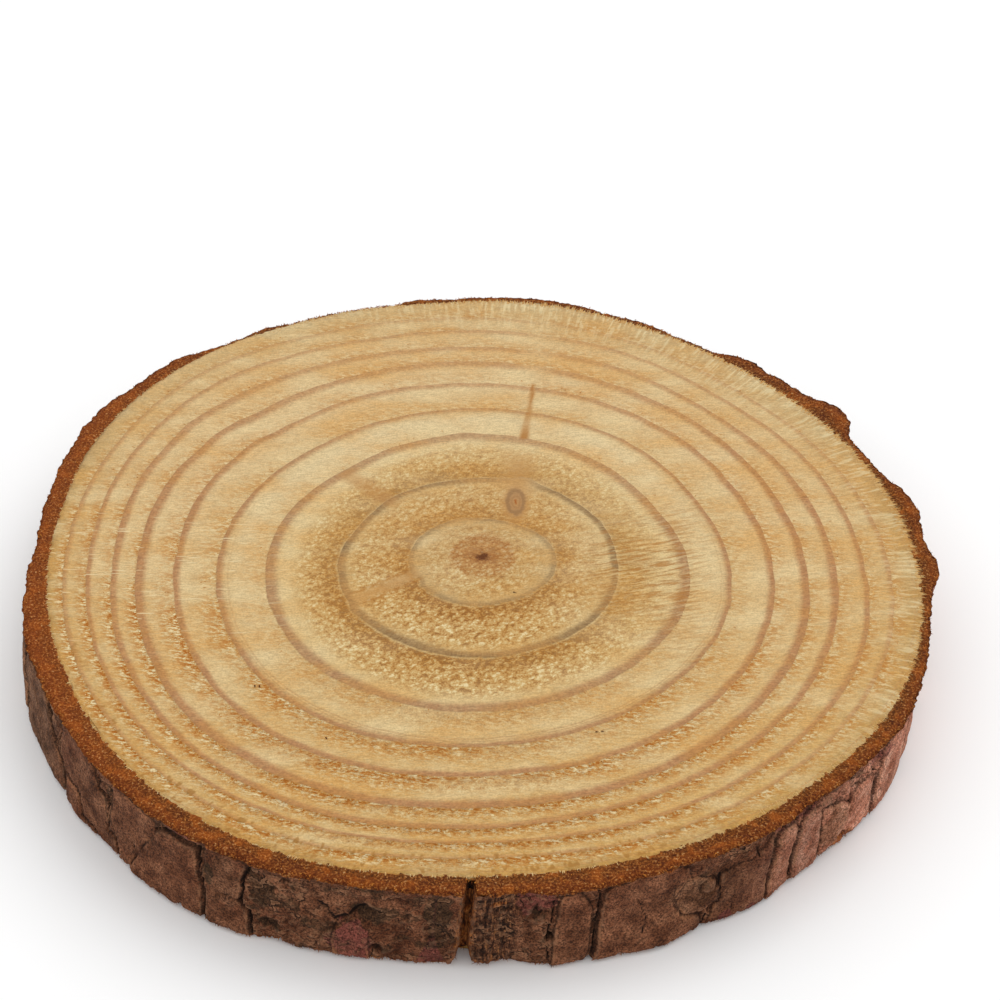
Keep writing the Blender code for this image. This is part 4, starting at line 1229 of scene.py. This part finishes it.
# %% Stains, knot and pith
wood_colour = painted(wood_colour, "#b07c42", read["stain"], 0.0, 1.0, 0.62)
wood_colour = painted(wood_colour, "#a46a26", read["line_stain"], 0.0, 1.0, 0.85)
knot_off = torn_distance((0.9, 1.8), KNOT, (1 / 1.25, 1 / 2.75))
for ring_at, reach, ring_colour, most in ((0.6, 0.75, "#a07650", 0.5), (0.87, 0.3, "#80603c", 0.52),
                                          (0.45, 0.14, "#8f6438", 0.35), (0.0, 0.24, "#9a5418", 0.85)):
    wood_colour = painted(wood_colour, ring_colour, away_from(knot_off, ring_at), reach, 0.3 * reach, most)
star_off = torn_distance((3.4, 2.8), squeeze=(0.75, 1.15))
wood_colour = painted(wood_colour, "#8a4f22", star_off, 2.0, 0.8, 0.4)
wood_colour = painted(wood_colour, "#5a2c10", star_off, 1.0, 0.45, 0.85)

bump_height = joined("Math ADD", add("Math MULTIPLY", fine, 0.5),
                     add("Math MULTIPLY", tuft_height, read["tufts"]), slivers)
bump_height = add("Math SUBTRACT", bump_height, dark_streaks)
dress(wood, wood_material, wood_colour, dict(Strength=0.6, Distance=0.18 * MM, Height=bump_height),
      Roughness=0.75, IOR=1.5, Specular_IOR_Level=0.2)

# %% [markdown]
# Conifer bark is dead cork in thin layers, dry and matt, so its roughness is near 0.9. Weather
# greys its outside, each plate in a tone of its own, and hollows get painted shade, almost black.
# Beside the crack it has split into fibrous ridges. The values kept at the vertices say where each is.

# %% Material: conifer bark
OUTER_BARK = ((0.36, "#4a2a19"), (0.5, "#66402b"), (0.64, "#7e543b"))
GREY_BARK = ((0.36, "#4b321e"), (0.5, "#6f4f39"), (0.64, "#8b694f"))
PINK_BARK = ((0.36, "#965d46"), (0.5, "#bd836a"), (0.64, "#d6a78f"))
THREADS = ((0.38, "#22130c"), (0.48, "#4a2c1c"), (0.58, "#6e4730"), (0.68, "#97633b"))
FRESH_BREAK = ((0.36, "#2c1207"), (0.5, "#7a3d14"), (0.64, "#b9743a"))
CUT_BARK = ((0.0, "#70451c"), (0.14, "#623813"), (0.4, "#683712"), (0.62, "#803e12"), (0.88, "#6f3210"),
            (1.0, "#451e10"))
CUT_GRAINS = ((0.36, "#1d0b04"), (0.45, "#5a2a0c"), (0.53, "#83451a"), (0.62, "#bd7b38"), (0.7, "#e8c48c"))

bark_material, read = start_material(
    "conifer bark, weathered and sawn", "cut", "layer", "worn", "hollow", "purple", "mouldy", "grey",
    "pink", "torn", "plate", "to_edge", "to_gap", "fibrous", "plate_tone")
place = places_in_mm()
mottle = add("TexNoise", Vector=place, Scale=1 / 2.6, Detail=5.0, Roughness=0.65)
fleck = add("TexNoise", Vector=place, Scale=1 / 0.24, Detail=2.0, Roughness=0.6)
jag = add("TexNoise", Vector=place, Scale=1 / 0.7, Detail=3.0, Roughness=0.7)
jag = add("Math SUBTRACT", jag, 0.5)


def jagged(share, amount=0.8):
    """A soft share from the mesh with its edge made ragged."""
    return add("Math ADD", share, add("Math MULTIPLY", jag, amount))


bark_colour = add("ValToRGB", mottle, stops=OUTER_BARK)
# Pinkish bark on the right, partly its own tint and partly painted light.
bark_colour = add("Mix RGBA", read["pink"], bark_colour, add("ValToRGB", mottle, stops=PINK_BARK))
bark_colour = add("Mix RGBA", read["grey"], bark_colour, add("ValToRGB", mottle, stops=GREY_BARK))
bark_colour = add("VectorMath MULTIPLY", bark_colour, (1.0, 0.9, 0.87))
bark_colour = painted(bark_colour, "#713b34", jagged(read["purple"]), 0.35, 0.6, 0.72)
bark_colour = painted(bark_colour, "#2e2416", jagged(read["mouldy"], 1.6), 0.3, 0.75, 0.72)
threads = add("TexNoise", Vector=add("VectorMath MULTIPLY", place, (2.6, 2.6, 0.45)), Scale=1.0,
              Detail=2.0, Roughness=0.6)
thread_colour = add("ValToRGB", threads, stops=THREADS)
bark_colour = painted(bark_colour, thread_colour, jagged(read["fibrous"]), 0.25, 0.5, 0.9)
fleck_shade = add("Math MULTIPLY", add("MapRange", fleck, 0.36, 0.64, 0.34, 1.6),
                  add("MapRange", read["plate_tone"], 0.0, 1.0, 0.8, 1.17))
bark_colour = add("VectorMath SCALE", bark_colour, fleck_shade)

# %% [markdown]
# Rough bark is a stack of thin layers. Their broken edges run like contour lines on a map, so the
# fraction of a few times a noise gives them: a dark line of painted shade under each edge, with the
# pale edge beside it. A plate has a lifted lip here and there, painted shade in the gap round it and
# a painted shadow along its outside, all drawn by distance. Raised ridges are painted pale, partly
# as rubbed wear and partly as painted highlight, hollows get painted shade, and fresh breaks are
# orange-brown threads along the trunk's grain.

# %% Layers, lips, gaps and breaks
layers = add("TexNoise", Vector=add("VectorMath MULTIPLY", place, (0.3, 0.3, 0.5)), Scale=1.0,
             Detail=4.0, Roughness=0.55)
stack = add("Math FRACT", add("Math MULTIPLY", layers, 4.5))
rough = add("Math MULTIPLY", add("MapRange", read["plate"], 0.0, 1.0, 1.0, 0.15),
            add("MapRange", mottle, 0.4, 0.56, 0.15, 1.0))
# Painted shade: a dark line under the broken edge of each layer.
seam = add("Math MULTIPLY", add("MapRange", stack, 0.2, 0.06, 0.0, 0.9), rough)
bark_colour = add("Mix RGBA", seam, bark_colour, "#1c110a")
layer_edge = add("Math MULTIPLY", add("MapRange", stack, 0.7, 0.95, 0.0, 0.55), rough)
bark_colour = add("Mix RGBA", layer_edge, bark_colour, "#9c7052")

plate_edge = jagged(read["to_edge"], 0.5)
bark_colour = painted(bark_colour, "#9a6644", away_from(plate_edge, 0.2), 0.16, 0.04, 0.55,
                      add("MapRange", mottle, 0.48, 0.6))
edge_shadow = add("MapRange", away_from(plate_edge, -0.08), 0.15, 0.05, 0.0, 0.6)
bark_colour = add("Mix RGBA", edge_shadow, bark_colour, "#20130b")
# Painted shade, near black, along the middle of each fissure.
gap = add("MapRange", jagged(read["to_gap"], 0.5), 0.34, 0.18, 0.0, 0.95)
bark_colour = add("Mix RGBA", gap, bark_colour, "#150c08")

# Raised places painted paler, partly wear and partly painted highlight; sunk places get painted shade.
bark_colour = painted(bark_colour, "#9a7459", read["worn"], 0.3, 1.0, 0.25)
bark_colour = painted(bark_colour, "#24150e", read["worn"], -0.2, -1.0, 0.4)
# Painted shade, almost black, in hollows and down the crack.
bark_colour = painted(bark_colour, "#1b100b", read["hollow"], 0.0, 1.0, 0.75)
break_colour = add("ValToRGB", threads, stops=FRESH_BREAK)
bark_colour = painted(bark_colour, break_colour, jagged(read["torn"], 1.2), 0.35, 0.7, 0.9)

# %% [markdown]
# Where the saw cut the bark, layers run from the wood outward: dark inner bark, then rust-coloured
# outer bark. The saw crumbled both into dark and golden grains of 0.3 mm.

# %% The sawn ring of bark
grains = add("TexNoise", Vector=place, Scale=1 / 0.3, Detail=3.0, Roughness=0.7)
layer = add("Math ADD", read["layer"], add("MapRange", mottle, 0.3, 0.7, -0.2, 0.2))
cut_colour = add("ValToRGB", layer, stops=CUT_BARK)
cut_colour = painted(cut_colour, "#4b1c08", mottle, 0.5, 0.4, 0.75)
cut_colour = painted(cut_colour, "#b05c1b", mottle, 0.52, 0.62, 0.75)
cut_colour = painted(cut_colour, "#a8501a", add("SeparateXYZ", place, out="X"), -35.0, -52.0, 0.4)
cut_colour = add("Mix RGBA", 0.5, cut_colour, add("ValToRGB", grains, stops=CUT_GRAINS))
# Painted shade where the crack runs across the cut bark.
cut_colour = add("Mix RGBA", read["hollow"], cut_colour, "#2a1206")
bark_colour = painted(bark_colour, cut_colour, jagged(read["cut"], 0.9), 0.42, 0.58)

rough_height = add("Math SUBTRACT", joined("Math ADD", fleck, mottle, grains, layer_edge),
                   joined("Math ADD", seam, edge_shadow, gap))
dress(bark, bark_material, bark_colour, dict(Strength=0.7, Distance=0.2 * MM, Height=rough_height),
      Roughness=0.88, IOR=1.45, Specular_IOR_Level=0.15)

# %% [markdown]
# Loose fibres are the same two stuffs torn to threads. Each one has a single tone, and the tones
# run from dark bark to pale wood.

# %% Material: torn fibre
FIBRE_TONES = ((0.05, "#4a2410"), (0.3, "#8d4c1f"), (0.55, "#b9742f"), (0.7, "#c08b4a"), (0.8, "#d2ad70"),
               (1.0, "#dfc896"))
fibre_material, read = start_material("torn bark and wood fibre", "tone")
dress(fibres, fibre_material, add("ValToRGB", read["tone"], stops=FIBRE_TONES),
      Roughness=0.8, IOR=1.45, Specular_IOR_Level=0.15)

# %% [markdown]
# A product photograph of this kind has a white sweep and broad soft light. The floor is a large
# pale plane, the world is the light tent, and one big lamp above the back right models the relief.
# The camera stands where the rim and the foot of the slice look as they do in the photo.

# %% Floor, light and camera
FLOOR_TOP = -0.00005  # a hair below the slice, so the two faces don't fight
floor_mesh = bpy.data.meshes.new("floor")
floor_corners = [(x, y, FLOOR_TOP) for x, y in ((-3.0, -3.0), (3.0, -3.0), (3.0, 3.0), (-3.0, 3.0))]
floor_mesh.from_pydata(floor_corners, [], [(0, 1, 2, 3)])
floor = bpy.data.objects.new("floor", floor_mesh)
bpy.context.collection.objects.link(floor)
floor_material, _ = start_material("matt white paper")
dress(floor, floor_material, "#fbfbfb", Roughness=0.95, IOR=1.4)

world = bpy.data.worlds.new("light tent")
bpy.context.scene.world = world
world.use_nodes = True
sky = world.node_tree.nodes["Background"].inputs
sky["Color"].default_value = (1.0, 1.0, 1.0, 1.0)
sky["Strength"].default_value = 0.95

lamp = bpy.data.lights.new("key light", "AREA")
lamp.size = 1.2
lamp.energy = 5.0
key_light = bpy.data.objects.new("key light", lamp)
key_light.location = (0.6, 0.45, 1.3)
key_light.rotation_euler = (-key_light.location).to_track_quat("-Z", "Y").to_euler()
bpy.context.collection.objects.link(key_light)

camera_data = bpy.data.cameras.new("camera")
camera_data.sensor_width = 36.0
camera_data.lens = 97.2
camera_data.clip_start = 0.01
camera = bpy.data.objects.new("camera", camera_data)
camera.location = (3.036 * MM, -272.45 * MM, 245.89 * MM)
camera.rotation_euler = (np.radians(90.0 - 39.324), 0.0, 0.0)
bpy.context.collection.objects.link(camera)
bpy.context.scene.camera = camera
bpy.context.scene.view_settings.view_transform = "Standard"

# %% [markdown]
# Last, every piece rides on the part's one body and stands for the CAD solid, which it hides.

# %% Hand over to the frame
for piece in (wood, bark, fibres):
    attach(piece, "root")
    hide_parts("wood_slice")
floor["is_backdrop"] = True
low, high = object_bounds()
{"cad": cad_box, "visual": [list(low), list(high)]}
print("Visual box in metres:", list(low), list(high))
